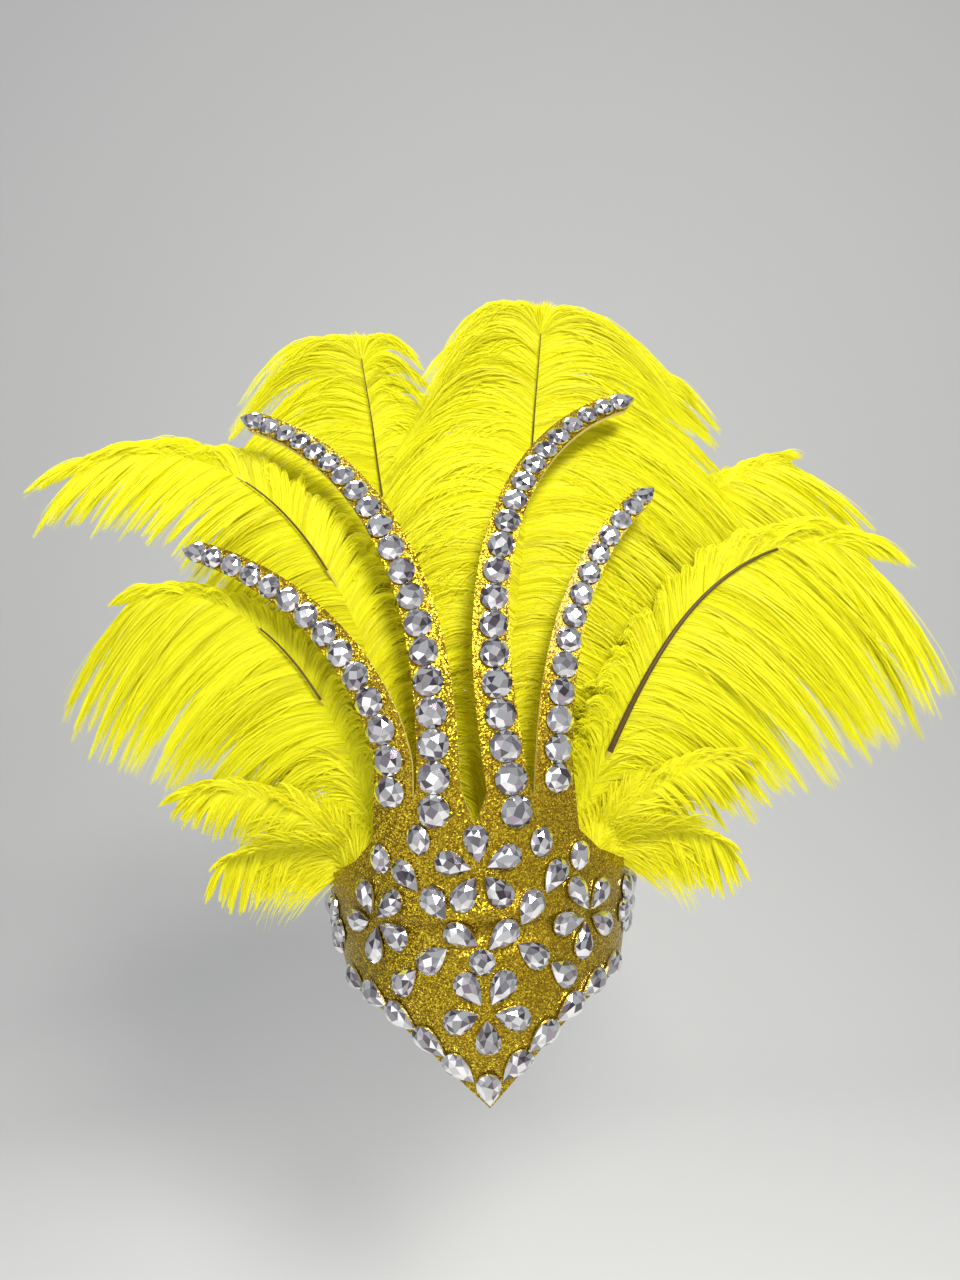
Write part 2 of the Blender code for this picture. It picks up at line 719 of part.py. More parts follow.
def lock(sheet, low, high, spec):
    """One lock between two stations of the vane, each with its shaft pair, web pair and barb's facts."""
    side, layer, habit = spec
    turn = (lambda *p: p) if side < 0 else (lambda *p: p[::-1])
    sheet.patch(*turn(low["shaft"], low["web"], high["web"], high["shaft"]))
    last_low, last_high = low["web"], high["web"]
    for along, full in LOCK_STATIONS[1:]:
        inset = (1.0 - full) / 2.0
        ends = []
        for mix in (inset, 1.0 - inset):
            (x0, z0), (x1, z1) = (barb_end(end, side, habit, along) for end in (low, high))
            x, z = x0 + (x1 - x0) * mix, z0 + (z1 - z0) * mix
            ends.append(sheet.pair(x, z, behind(x, z, layer), LOCK_THICKNESS))
        sheet.patch(*turn(last_low, ends[0], ends[1], last_high))
        sheet.wall(*turn(last_low, ends[0]))
        sheet.wall(*turn(ends[1], last_high))
        last_low, last_high = ends
    tips = [barb_end(end, side, habit, 1.0) for end in (low, high)]
    x, z = ((tips[0][i] + tips[1][i]) / 2.0 for i in (0, 1))
    tip = sheet.pair(x, z, behind(x, z, layer), LOCK_THICKNESS)
    sheet.patch(*turn(last_low, tip, last_high))
    sheet.wall(*turn(last_low, tip))
    sheet.wall(*turn(tip, last_high))


def feather_mesh(name, row):
    """A plume: a shaft with its bare quill, and locks of barbs on both sides of its vane."""
    x, z, length, root_lean, tip_lean, bend, vane_start, left, right, droop, tip_spread, layer, locks = row
    habit = (droop, tip_spread)
    sheet = Sheet()
    bare = [vane_start * i / QUILL_STATIONS for i in range(QUILL_STATIONS)]
    vane = [vane_start + (1.0 - vane_start) * i / locks for i in range(locks + 1)]
    fine, leans = bent_line((x, z), length, root_lean, tip_lean, bend, SHAFT_LINE_STATIONS)
    shares = np.linspace(0.0, 1.0, len(fine))
    stations = []
    for share in bare + vane:
        point = tuple(float(np.interp(share, shares, [p[i] for p in fine])) for i in (0, 1))
        lean = float(np.interp(share, shares, leans))
        half = SHAFT_WIDTH / 2.0 * (1.0 - SHAFT_TAPER * share)
        thick = SHAFT_THICKNESS * (1.0 - SHAFT_THINNING * share)
        pairs = {}
        for side in (-1, 1):
            px = point[0] + side * half * math.cos(lean)
            pz = point[1] - side * half * math.sin(lean)
            pairs[side] = sheet.pair(px, pz, behind(px, pz, layer), thick)
        stations.append({"point": point, "lean": lean, "share": share, "pairs": pairs})
    for low, high in zip(stations, stations[1:]):
        sheet.patch(low["pairs"][-1], high["pairs"][-1], high["pairs"][1], low["pairs"][1])
    sheet.wall(stations[0]["pairs"][1], stations[0]["pairs"][-1])
    sheet.wall(stations[-1]["pairs"][-1], stations[-1]["pairs"][1])
    for low, high in zip(stations[:QUILL_STATIONS], stations[1:]):
        sheet.wall(low["pairs"][-1], high["pairs"][-1])
        sheet.wall(high["pairs"][1], low["pairs"][1])
    for side, longest in ((-1, left), (1, right)):
        ends = []
        for station in stations[QUILL_STATIONS:]:
            span = (station["share"] - vane_start) / (1.0 - vane_start)
            size = longest * vane_profile(span)
            end = dict(station, shaft=station["pairs"][side], share=span, length=size)
            wx, wz = barb_end(end, side, habit, LOCK_STATIONS[0][0])
            end["web"] = sheet.pair(wx, wz, behind(wx, wz, layer), LOCK_THICKNESS)
            ends.append(end)
        turn = (lambda *p: p) if side < 0 else (lambda *p: p[::-1])
        sheet.wall(*turn(ends[0]["shaft"], ends[0]["web"]))
        sheet.wall(*turn(ends[-1]["web"], ends[-1]["shaft"]))
        for low, high in zip(ends, ends[1:]):
            lock(sheet, low, high, (side, layer, habit))
    return softened(mesh_from(name, sheet.points, sheet.faces))


# Head strap


def strap_mesh():
    """A flat band from the inside of one wing round the back of the head to the other."""
    narrowest = STRAP_HEIGHT - STRAP_WIDTH / 2.0
    inset = FOAM_THICKNESS + STRAP_GAP + STRAP_THICKNESS / 2.0
    foam_half_width = HEAD_HALF_WIDTH * form_column(narrowest, 1)
    wrap = HEAD_HALF_LENGTH * form_column(narrowest, 2)
    centre = -HEAD_HALF_LENGTH + wrap + set_back(narrowest)
    half_width = foam_half_width - inset
    front = wrap - inset
    rear = HEAD_HALF_LENGTH - centre
    start = (WING_SPAN - STRAP_LAP) / foam_half_width
    points, faces = [], []
    for station in range(STRAP_STATIONS + 1):
        turn = start + (2.0 * math.pi - 2.0 * start) * station / STRAP_STATIONS
        depth = front if math.cos(turn) > 0 else rear
        middle = Vector((half_width * math.sin(turn), centre - depth * math.cos(turn), STRAP_HEIGHT))
        away = Vector((math.sin(turn) / half_width, -math.cos(turn) / depth, 0.0)).normalized()
        for lift, rise in ((-1, -1), (1, -1), (1, 1), (-1, 1)):
            offset = away * lift * STRAP_THICKNESS / 2.0 + Vector((0, 0, rise * STRAP_WIDTH / 2.0))
            points.append(middle + offset)
    for station in range(STRAP_STATIONS):
        for corner in range(4):
            a, b = 4 * station + corner, 4 * station + (corner + 1) % 4
            faces.append((a, a + 4, b + 4, b))
    faces.append((0, 1, 2, 3))
    faces.append(tuple(4 * STRAP_STATIONS + i for i in (3, 2, 1, 0)))
    return softened(mesh_from("head_strap", points, faces))


def main():
    clear_scene()
    add_piece("foam_shield", foam_mesh(), "glitter_foam")
    add_stones()
    for name, row in PLUMES.items():
        add_piece(name, feather_mesh(name, row), "plume")
    for name, row in SIDE_FEATHERS.items():
        add_piece(name, feather_mesh(name, row), "side_feather")
    add_piece("head_strap", strap_mesh(), "strap")


main()
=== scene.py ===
"""Looks of the carnival feather headdress: glitter foam, silver-backed cut stones and plumes of single barbs.

Lengths are in metres in the row frame. The form, tine and feather sizes repeat those of the CAD model, but
the crease and its ridge are crisper here.
"""

import math

import bpy
import numpy as np
from mathutils import Matrix, Vector
from mathutils.geometry import delaunay_2d_cdt


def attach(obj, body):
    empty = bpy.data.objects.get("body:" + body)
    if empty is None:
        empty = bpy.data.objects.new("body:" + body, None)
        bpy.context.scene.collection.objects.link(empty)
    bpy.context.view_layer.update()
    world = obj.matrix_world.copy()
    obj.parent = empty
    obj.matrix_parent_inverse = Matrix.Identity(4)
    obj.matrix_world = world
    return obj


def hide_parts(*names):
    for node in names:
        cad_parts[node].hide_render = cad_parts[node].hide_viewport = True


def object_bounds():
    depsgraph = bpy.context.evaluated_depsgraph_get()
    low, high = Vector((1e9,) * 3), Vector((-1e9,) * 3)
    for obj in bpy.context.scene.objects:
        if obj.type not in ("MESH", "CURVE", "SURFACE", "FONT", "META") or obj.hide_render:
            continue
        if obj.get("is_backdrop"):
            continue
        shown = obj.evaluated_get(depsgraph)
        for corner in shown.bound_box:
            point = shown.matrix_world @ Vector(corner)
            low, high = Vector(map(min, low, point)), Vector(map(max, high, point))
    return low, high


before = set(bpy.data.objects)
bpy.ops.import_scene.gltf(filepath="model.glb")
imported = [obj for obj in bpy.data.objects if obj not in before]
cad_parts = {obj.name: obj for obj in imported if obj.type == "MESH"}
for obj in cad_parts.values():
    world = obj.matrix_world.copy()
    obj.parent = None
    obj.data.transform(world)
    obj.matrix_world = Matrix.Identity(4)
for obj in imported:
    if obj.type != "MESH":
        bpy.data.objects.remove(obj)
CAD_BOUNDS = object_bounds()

# Head and foam sheet
HEAD_HALF_WIDTH = 0.086
HEAD_HALF_LENGTH = 0.095
FOAM_THICKNESS = 0.002
FOAM_FACET = 0.0023
POINT_DROP = 0.093
POINT_TUCK = 0.010
SLOT_RISE = 0.049
TINE_RISE = 0.275
TINE_SET_BACK = 0.076
WING_SPAN = 0.128
WING_TOP = 0.016
WING_BOTTOM = 0.030
SHOULDER_RISE = 0.042
SHOULDER_ACROSS = 0.056
CREASE_HEIGHT = -0.003
CREASE_DEPTH = 0.0031
CREASE_WIDTH = 0.0066
CREASE_SPAN = 0.055
FORM_SOFTENING = 0.010
RIDGE_SHARE = 1.05
RIDGE_OFFSET = 1.30
PROBE_STEP = 0.0005
FOAM_GRID_SHARE = 1.25
FOAM_EDGE_SHARE = 0.55
FOAM_MERGE = 1e-7
GLITTER_SLOT, EDGE_SLOT, BACK_SLOT = range(3)
SHARP_ANGLE = 35.0
GLUE_GAP = 0.0005
BACK_GAP = 0.0002

# The foam's form: height, width, wrap, tuck and lean as shares of the sizes above
FORM_LEVELS = (
    (-1.00, 0.72, 0.66, 1.00, 0.00),
    (-0.54, 0.87, 0.84, -0.30, 0.00),
    (0.00, 1.00, 0.98, 0.00, 0.00),
    (0.18, 1.02, 0.85, 0.00, 0.00),
    (0.29, 1.16, 0.66, 0.00, 0.02),
    (0.44, 1.62, 0.53, 0.00, 0.08),
    (0.73, 2.55, 0.42, 0.00, 0.38),
    (0.87, 2.80, 0.42, 0.00, 0.67),
    (1.00, 3.00, 0.42, 0.00, 1.00),
)
LEVEL_HEIGHTS = [share * (POINT_DROP if share < 0 else TINE_RISE) for share, *_ in FORM_LEVELS]
LEVEL_COLUMNS = list(zip(*FORM_LEVELS))
SOFTENING = FORM_SOFTENING * np.array((-1.0, -0.5, 0.0, 0.5, 1.0))

# across, down
LOWER_RIM = ((0.90, 0.385), (0.70, 0.42), (0.52, 0.455), (0.375, 0.515), (0.235, 0.655), (0.115, 0.825))
RIM_STONE_INSET = 0.0055
# across, up
WING_EDGE = ((0.55, 0.70), (0.74, 0.46))

# Tines: across, up, length, root lean, tip lean, bend, inner, stones
TINES = {
    "outer_left": (-0.0426, 0.0672, 0.182, 11.0, -75.0, 0.66, 1, 14),
    "inner_left": (-0.0198, 0.0574, 0.254, 3.5, -71.3, 1.60, 1, 20),
    "inner_right": (0.0209, 0.0552, 0.251, -7.3, 77.4, 2.10, -1, 20),
    "outer_right": (0.0437, 0.0698, 0.159, 2.9, 54.5, 1.65, -1, 14),
}
TINE_MOUTH = 0.010
TINE_OUTER_MARGIN = 0.0010
TINE_INNER_MARGIN = 0.0048
TINE_TIP_MARGIN = 0.0008
TINE_STATIONS = 44
TINE_LINE_STATIONS = 96
LINE_FINENESS = 8
TIP_REACH_SHARE = 0.75
SLOT_BOTTOMS = ((-0.0305, 0.063), (0.0000, SLOT_RISE), (0.0305, 0.061))

# Cut stones
STONE_ROUND = 0.0128
STONE_TAPER = 0.68
PEAR_LENGTH = 0.0185
PEAR_WIDTH = 0.0127
PEAR_FULLNESS = 1.75
TIP_PEAR_SHARE = 1.3
RIM_PEAR_LENGTH = 0.0200
OVAL_LENGTH = 0.0150
OVAL_WIDTH = 0.0122
STONE_HEIGHT_SHARE = 0.32
FUSE_OVERLAP = 0.0006
STONE_SIDES = 16
PETALS = 5
PETAL_RADIUS = 0.0130
# across, up, angle
FLOWERS = {
    "upper": (0.001, 0.028, 93.0),
    "left": (-0.056, 0.001, 116.0),
    "right": (0.058, -0.002, 113.0),
    "lower": (0.001, -0.040, 126.0),
}
TEMPLE_FLOWERS = {"left": (-0.105, -0.010, 60.0), "right": (0.105, -0.007, 120.0)}
CHAIN_STONES = {
    "upper_left_1": (-0.036, 0.025, -48.0),
    "upper_left_2": (-0.021, 0.012, -52.0),
    "upper_left_3": (-0.009, -0.003, -30.0),
    "upper_right_1": (0.039, 0.021, -128.0),
    "upper_right_2": (0.025, 0.008, -128.0),
    "upper_right_3": (0.010, -0.004, -140.0),
    "lower_left_1": (-0.024, -0.015, 36.0),
    "lower_left_2": (-0.040, -0.027, 42.0),
    "lower_right_1": (0.025, -0.015, 142.0),
    "lower_right_2": (0.041, -0.027, 140.0),
}
OVAL_STONES = {
    "root_left": (-0.0285, 0.0435, 100.0),
    "root_right": (0.033, 0.039, 82.0),
    "shoulder_left": (-0.051, 0.033, 96.0),
    "shoulder_right": (0.055, 0.029, 84.0),
}
MIDDLE_STONE_UP = -0.0165
POINT_STONE_RISE = 0.0115
RIM_STONES = 5
RIM_FIRST_STONE = 0.0275

# How a stone's crown rises: radius and height of each ring of facets as shares of the stone's
CROWN_RINGS = ((1.00, 0.00), (1.00, 0.30), (0.76, 0.70), (0.40, 1.00))
# How many of the painted reflections below, from the first, a stone's back and side wall have
WALL_PAINTED_REFLECTION_COUNT = 2
# Painted reflections on the silvered facets, from white through grey to dark, and how often each comes
FACET_PAINTED_REFLECTIONS = (
    # red, green, blue, share
    (0.95, 0.94, 0.95, 0.32),
    (0.68, 0.67, 0.68, 0.28),
    (0.38, 0.36, 0.38, 0.20),
    (0.12, 0.10, 0.12, 0.14),
    (0.40, 0.32, 0.40, 0.06),
)

# Plumes: x, z, length, root lean, tip lean, bend, vane start, left, right, droop, tip spread, layer
PLUMES = {
    "plume_top_centre": (-0.0012, 0.012, 0.316, 11.8, 7.2, 1.52, 0.34, 0.132, 0.134, 0.82, 50, 3.8),
    "plume_left_centre": (-0.0064, 0.012, 0.308, -10.8, -6.0, 1.85, 0.27, 0.132, 0.079, 0.79, 46, 5.1),
    "plume_left_upper": (-0.028, 0.012, 0.349, -7.8, -104.0, 2.17, 0.24, 0.049, 0.057, 0.37, 24, 3),
    "plume_left_lower": (-0.0497, 0.016, 0.219, -8.7, -91.1, 1.84, 0.26, 0.078, 0.036, 0.49, 30, 2),
    "plume_right_centre": (0.0111, 0.012, 0.306, 15.4, 27.4, 0.89, 0.26, 0.057, 0.057, 0.85, 44, 7),
    "plume_right_upper": (0.0224, 0.012, 0.291, 10.9, 71.8, 1.41, 0.26, 0.040, 0.081, 0.48, 40, 6),
    "plume_right_inner": (0.034, 0.014, 0.145, 17.0, 44.0, 1.0, 0.40, 0.034, 0.038, 0.40, 40, 3),
    "plume_right_lower": (0.0431, 0.016, 0.250, 24.1, 100.0, 2.68, 0.27, 0.059, 0.092, 0.57, 28, 2),
}
SIDE_FEATHERS = {
    "side_feathers_left_upper": (-0.057, 0.018, 0.108, -26.0, -92.0, 0.9, 0.42, 0.024, 0.030, 0.25, 22, 1),
    "side_feathers_left_lower": (-0.063, 0.016, 0.080, -42.0, -112.0, 0.8, 0.48, 0.028, 0.014, 0.25, 22, 0),
    "side_feathers_right_upper": (0.056, 0.019, 0.098, 27.0, 82.0, 0.9, 0.42, 0.030, 0.024, 0.25, 22, 1),
    "side_feathers_right_lower": (0.064, 0.016, 0.076, 42.0, 118.0, 0.8, 0.48, 0.014, 0.028, 0.25, 22, 0),
}
# The feathers' looks. For each side: barbs, strands, downy barbs and their length. Then the shaft's radius,
# and from where to where the dark shaft shows, as shares of its length.
PLUME_LOOKS = {
    "plume_top_centre": (2600, 78, 800, 0.054, 0.0012, 0.70, 0.985),
    "plume_left_centre": (2350, 72, 800, 0.054, 0.0012, 0.70, 0.985),
    "plume_left_upper": (2100, 70, 380, 0.036, 0.0011, 0.50, 0.72),
    "plume_left_lower": (2150, 66, 520, 0.047, 0.0011, 0.47, 0.69),
    "plume_right_centre": (1500, 52, 700, 0.050, 0.0010, 0.0, 0.0),
    "plume_right_upper": (2000, 62, 380, 0.036, 0.0010, 0.0, 0.0),
    "plume_right_inner": (1050, 28, 380, 0.036, 0.0010, 0.0, 0.0),
    "plume_right_lower": (2650, 76, 520, 0.047, 0.0021, 0.28, 0.85),
}
SIDE_LOOKS = (720, 20, 480, 0.042, 0.0008, 0.0, 0.0)
LAYER_STEP = 0.0056
LAYER_BASE = 0.0030
LAYER_TURN_FROM = 0.024
LAYER_TURN_TO = 0.058
PLUME_BOW_SHARE = 0.62
QUILL_BOW_SHARE = 0.87
PLUME_FLARE = 0.06
SHAFT_THICKNESS = 0.0030
FEATHER_FLOOR = -0.0186
BARB_ROOT_ANGLE = 62.0
UPPER_BARB_FLOP = 0.45
VANE_SHORTEST = 0.62
VANE_SWELL_FROM = 0.07
VANE_SWELL_SPAN = 0.82
SHAFT_LINE_STATIONS = 60

# Barbs
DEPTH_AXIS = np.array((0.0, 1.0, 0.0))
NEAR_ZERO = 1e-12
BARB_STATIONS = 8
BARB_WIDTH = 0.00138
BARB_TIP_SHARE = 0.07
BARB_LENGTH_SPREAD = 0.34
BARB_ANGLE_SPREAD = 3.2
BARB_CURL = 0.16
UPPER_BARB_CURL = 0.34
STRAND_ANGLE_SPREAD = 2.4
STRAND_DROOP_SPREAD = 0.12
STRAND_LENGTH_SPREAD = 0.16
STRAND_PULL = 0.88
STRAND_PULL_FROM = 0.30
STRAND_LOOSENESS = 0.0024
BARB_LOOSENESS = 0.0008
STRAND_UNEVENNESS = 0.42
STRAND_TONE_SHARE = 0.65
STRAND_LIFT_LIMIT = 0.005
HELD_AT_LEAST = 0.80
LOOSE_BARBS = 0.30
LOOSE_PULL = 0.25
SHORTNESS_POWER = 1.5
ROOT_LOOSENESS = 0.35
BARB_TAPER_POWER = 1.2
BARB_TWIST = 0.45
BARB_TIP_TWIST = 0.7
DOWN_FROM = 0.06
DOWN_PAST_VANE = 0.03
DOWN_SHORTEST = 0.45
DOWN_SPREAD = (0.25, 1.10)
DOWN_DROOP = 0.5
TIP_FAN_BARBS = 300
TIP_FAN_SHORTEST = 0.24
TIP_FAN_ROOTS = 0.02
TIP_FAN_EVENNESS = 0.8
EXTRA_LIFT = (0.15, 0.65)
SHAFT_TIP_SHARE = 0.22
SHAFT_SIDES = 6
SHAFT_RINGS = 48
SHAFT_STAND_OFF = 0.0034
SHAFT_SUNK = 0.0012
SHAFT_FADE = 0.03
SHAFT_END = 0.99
DARK_FROM = 0.5
DARK_SHAFT_SLOT = 1
PALE_SHAFT_SLOT = 2

# Seeds of the random draws
STONE_SEED = 7
PLUME_SEED = 11
SIDE_SEED = 31

# Finishes: colour, metallic and roughness
BASES = {
    "gold_glitter": ((0.6, 0.4, 0.03), 0.80, 0.34),
    "silvered_stone": ((0.8, 0.8, 0.84), 0.92, 0.10),
    "pale_elastic": ((0.80, 0.74, 0.58), 0.0, 0.8),
    "foam_cut_edge": ((0.74, 0.60, 0.22), 0.0, 0.7),
    "foam_back": ((0.62, 0.43, 0.06), 0.0, 0.75),
    "brown_shaft": ((0.085, 0.042, 0.004), 0.0, 0.5),
    "yellow_shaft": ((0.62, 0.52, 0.05), 0.0, 0.5),
    "pale_wall": ((0.66, 0.66, 0.65), 0.0, 0.85),
}
# The barbs' tones, from a dark one that is partly the dye's own unevenness and partly painted shade between
# strands to a light one, and the light through them
BARB_FINISHES = {
    "yellow_barbs": ((0.64, 0.58, 0.002), (0.95, 0.93, 0.010), (0.98, 0.97, 0.01)),
    "yellow_down": ((0.78, 0.71, 0.003), (0.96, 0.93, 0.016), (1.0, 0.98, 0.03)),
}
BARB_ROUGHNESS = 0.62
BARB_LIGHT_FROM = 0.35
BARB_TRANSLUCENCE = 0.42
FLAKE_SCALE = 1700.0
FLAKE_TILT = 0.26
# Gold of the flakes, from the dullest to the brightest
FLAKE_TONES = (
    (0.0, (0.13, 0.075, 0.002)),
    (0.50, (0.33, 0.20, 0.004)),
    (0.84, (0.55, 0.38, 0.008)),
    (1.0, (1.0, 0.84, 0.05)),
)
# Weight and roughness
GLITTER_COAT = (0.10, 0.22)
STONE_COAT = (1.0, 0.03)
STRAP_RIB_SCALE = 1600.0
STRAP_BUMP_STRENGTH = 0.5
STRAP_BUMP_DEPTH = 0.0002
STRAP_TONES = ((0.0, (0.86, 0.80, 0.66)), (0.8, (0.62, 0.56, 0.42)))

# Camera, as read off the photograph
CAMERA_PLACE = (0.0073, -0.565, 0.140)
CAMERA_ROLL = math.atan2(15.0, 281.0)
FOCAL_PIXELS = 963.0
FRAME_HEIGHT_PIXELS = 1280.0
SENSOR_HEIGHT = 36.0
CLIP_START = 0.01

# Stage and light
WALL_DEPTH = 1.050
FLOOR_HEIGHT = -0.420
SWEEP_RADIUS = 0.450
STAGE_HALF_WIDTH = 2.2
STAGE_FRONT = -2.2
STAGE_TOP = 1.8
SWEEP_STATIONS = 16
LIGHT_AIM = (0.0, -0.03, 0.10)
# place, size, watts, colour, spread in degrees
LIGHTS = {
    "key": ((0.45, -1.30, 1.00), 0.42, 26.0, (1.0, 0.98, 0.95), 180.0),
    "fill": ((-1.0, -1.5, 0.3), 1.2, 5.0, (0.95, 0.97, 1.0), 180.0),
    "back": ((-0.35, 0.50, 1.60), 0.5, 5.0, (1.0, 1.0, 1.0), 90.0),
}
ROOM_COLOUR = (0.92, 0.95, 1.0)
ROOM_STRENGTH = 0.36


# The foam's form


def form_column(up, column):
    """A column of FORM_LEVELS at one height or many, softened so that no level shows as a kink."""
    nearby = np.asarray(up)[..., None] + SOFTENING
    return np.interp(nearby, LEVEL_HEIGHTS, LEVEL_COLUMNS[column]).mean(axis=-1)


def set_back(up):
    return POINT_TUCK * form_column(up, 3) + TINE_SET_BACK * form_column(up, 4)


def crease(across, up):
    """The fold over the brow: a valley with a low ridge above it, which fades towards the temples."""
    place = (up - CREASE_HEIGHT) / CREASE_WIDTH
    fade = 1.0 / (1.0 + (across / CREASE_SPAN) ** 4)
    return CREASE_DEPTH * fade * (np.exp(-(place**2)) - RIDGE_SHARE * np.exp(-((place - RIDGE_OFFSET) ** 2)))


def skins(across, up):
    """The points of the foam's outer face at arrays of (across, up)."""
    half_width = HEAD_HALF_WIDTH * form_column(up, 1)
    wrap = HEAD_HALF_LENGTH * form_column(up, 2)
    turn = across / half_width
    front = -HEAD_HALF_LENGTH + set_back(up) + crease(across, up)
    return np.stack([half_width * np.sin(turn), front + wrap * (1.0 - np.cos(turn)), up], axis=-1)


def skin_frames(across, up):
    """Points, directions across, directions up and outward normals at arrays of (across, up)."""
    right = skins(across + PROBE_STEP, up) - skins(across - PROBE_STEP, up)
    rise = skins(across, up + PROBE_STEP) - skins(across, up - PROBE_STEP)
    normal = np.cross(right, rise)
    normal /= np.linalg.norm(normal, axis=-1, keepdims=True)
    right /= np.linalg.norm(right, axis=-1, keepdims=True)
    return skins(across, up), right, np.cross(normal, right), normal


def skin(across, up):
    return Vector(skins(np.float64(across), np.float64(up)))


def skin_frame(across, up):
    return tuple(Vector(v) for v in skin_frames(np.float64(across), np.float64(up)))


def bent_line(start, length, root_lean, tip_lean, bend, stations):
    """Points and leans (radians) along a line that turns from root_lean to tip_lean, in a flat plane."""
    steps = stations * LINE_FINENESS
    share = (np.arange(steps) + 0.5) / steps
    lean = np.radians(root_lean + (tip_lean - root_lean) * share**bend)
    x = start[0] + np.concatenate([[0.0], np.cumsum(np.sin(lean))]) * length / steps
    z = start[1] + np.concatenate([[0.0], np.cumsum(np.cos(lean))]) * length / steps
    leans = np.concatenate([[math.radians(root_lean)], lean])
    return np.stack([x, z], axis=-1)[::LINE_FINENESS], leans[::LINE_FINENESS]


def tine_layout(name):
    """(across, up, lean, diameter) of each stone of a tine, spaced so that each meets the next."""
    x, z, length, root_lean, tip_lean, bend, _, stones = TINES[name]
    line, leans = bent_line((x, z), length, root_lean, tip_lean, bend, TINE_LINE_STATIONS)
    places = skins(line[:, 0], line[:, 1])
    run = np.concatenate([[0.0], np.cumsum(np.linalg.norm(np.diff(places, axis=0), axis=1))])
    shares = np.linspace(1.0, STONE_TAPER, stones)
    shares /= shares.mean()
    steps = (shares[1:] + shares[:-1]) / 2.0
    pitch = run[-1] / steps.sum()
    at = np.concatenate([[0.0], np.cumsum(steps)]) * pitch
    columns = [np.interp(at, run, values) for values in (line[:, 0], line[:, 1], leans)]
    return list(zip(*columns, shares * pitch))


def tine_edges(name):
    """A tine's left and right edges from its mouth to its tip as (across, up) points, and its tip."""
    x, z, length, root_lean, tip_lean, bend, inner, _ = TINES[name]
    line, leans = bent_line((x, z), length, root_lean, tip_lean, bend, TINE_STATIONS)
    rows = tine_layout(name)
    stone_ups = np.linspace(0.0, 1.0, len(rows))
    radii = [row[3] / 2.0 for row in rows]
    left, right = [], []
    for station, ((across, up), lean) in enumerate(zip(line, leans)):
        share = station / TINE_STATIONS
        if share * length < TINE_MOUTH:
            continue
        radius = float(np.interp(share, stone_ups, radii))
        bare = TINE_INNER_MARGIN + (TINE_TIP_MARGIN - TINE_INNER_MARGIN) * share
        margins = {inner: bare, -inner: TINE_OUTER_MARGIN * (1.0 - share)}
        for side, edge in ((-1, left), (1, right)):
            reach = side * (radius + margins[side])
            edge.append((across + reach * math.cos(lean), up - reach * math.sin(lean)))
    across, up, lean, size = rows[-1]
    reach = TIP_REACH_SHARE * size
    return left, right, (across + reach * math.sin(lean), up + reach * math.cos(lean))


def lower_rim(side):
    """The lower rim on one side from the wing's end inwards, without the point."""
    rows = [(WING_SPAN, -WING_BOTTOM)] + [(a * WING_SPAN, -d * POINT_DROP) for a, d in LOWER_RIM]
    return [(side * across, up) for across, up in rows]


def wing_edge(side):
    """The wing's upper edge on one side, from the wing's end to the shoulder."""
    rows = [(WING_SPAN, WING_TOP)]
    rows += [(a * WING_SPAN, u * SHOULDER_RISE) for a, u in reversed(WING_EDGE)]
    rows.append((SHOULDER_ACROSS, SHOULDER_RISE))
    return [(side * across, up) for across, up in rows]


def foam_outline():
    """The sheet's outline as (across, up) points: the rim, then up and down the edges of each tine."""
    outline = [(0.0, -POINT_DROP)] + lower_rim(-1)[::-1] + wing_edge(-1)
    for index, name in enumerate(TINES):
        left, right, tip = tine_edges(name)
        outline += left + [tip] + right[::-1]
        if index < len(SLOT_BOTTOMS):
            outline.append(SLOT_BOTTOMS[index])
    return outline + wing_edge(1)[::-1] + lower_rim(1)


def subdivided(outline, longest):
    """The closed outline with no side longer than longest."""
    points = []
    for (x0, z0), (x1, z1) in zip(outline, outline[1:] + outline[:1]):
        parts = max(1, math.ceil(math.hypot(x1 - x0, z1 - z0) / longest))
        points += [(x0 + (x1 - x0) * i / parts, z0 + (z1 - z0) * i / parts) for i in range(parts)]
    return points


def inside(points, outline):
    """Which of the points lie inside the outline."""
    odd = np.zeros(len(points), dtype=bool)
    for (x0, z0), (x1, z1) in zip(outline, outline[1:] + outline[:1]):
        if z0 == z1:
            continue
        spans = (z0 > points[:, 1]) != (z1 > points[:, 1])
        odd ^= spans & (points[:, 0] < (x1 - x0) * (points[:, 1] - z0) / (z1 - z0) + x0)
    return odd


def inner_points(outline, pitch):
    """A triangular grid of points inside the outline and clear of its edge, with a row along the crease."""
    edge = np.array(outline)
    low, high = edge.min(axis=0), edge.max(axis=0)
    rise = pitch * math.sqrt(0.75)
    rows = np.arange(int((low[1] - CREASE_HEIGHT) / rise), int((high[1] - CREASE_HEIGHT) / rise) + 1)
    columns = np.arange(int((high[0] - low[0]) / pitch) + 1)
    x = low[0] + (columns[None, :] + 0.5 * (rows[:, None] % 2)) * pitch
    z = np.broadcast_to(CREASE_HEIGHT + rows[:, None] * rise, x.shape)
    points = np.stack([x.ravel(), z.ravel()], axis=1)
    points = points[inside(points, outline)]
    gaps = np.linalg.norm(points[:, None, :] - edge[None, :, :], axis=2).min(axis=1)
    return [tuple(p) for p in points[gaps > FOAM_EDGE_SHARE * pitch]]


# Meshes


def mesh_from(name, points, faces, slots=None):
    mesh = bpy.data.meshes.new(name)
    mesh.from_pydata([tuple(p) for p in points], [], faces)
    if slots is not None:
        mesh.polygons.foreach_set("material_index", slots)
    return mesh


def add_piece(name, mesh, slot, materials, *nodes):
    """A piece that stands for CAD nodes, with its finish."""
    piece = bpy.data.objects.new(name, mesh)
    for material in materials:
        mesh.materials.append(material)
    bpy.context.scene.collection.objects.link(piece)
    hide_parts(*nodes)
    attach(piece, "root")


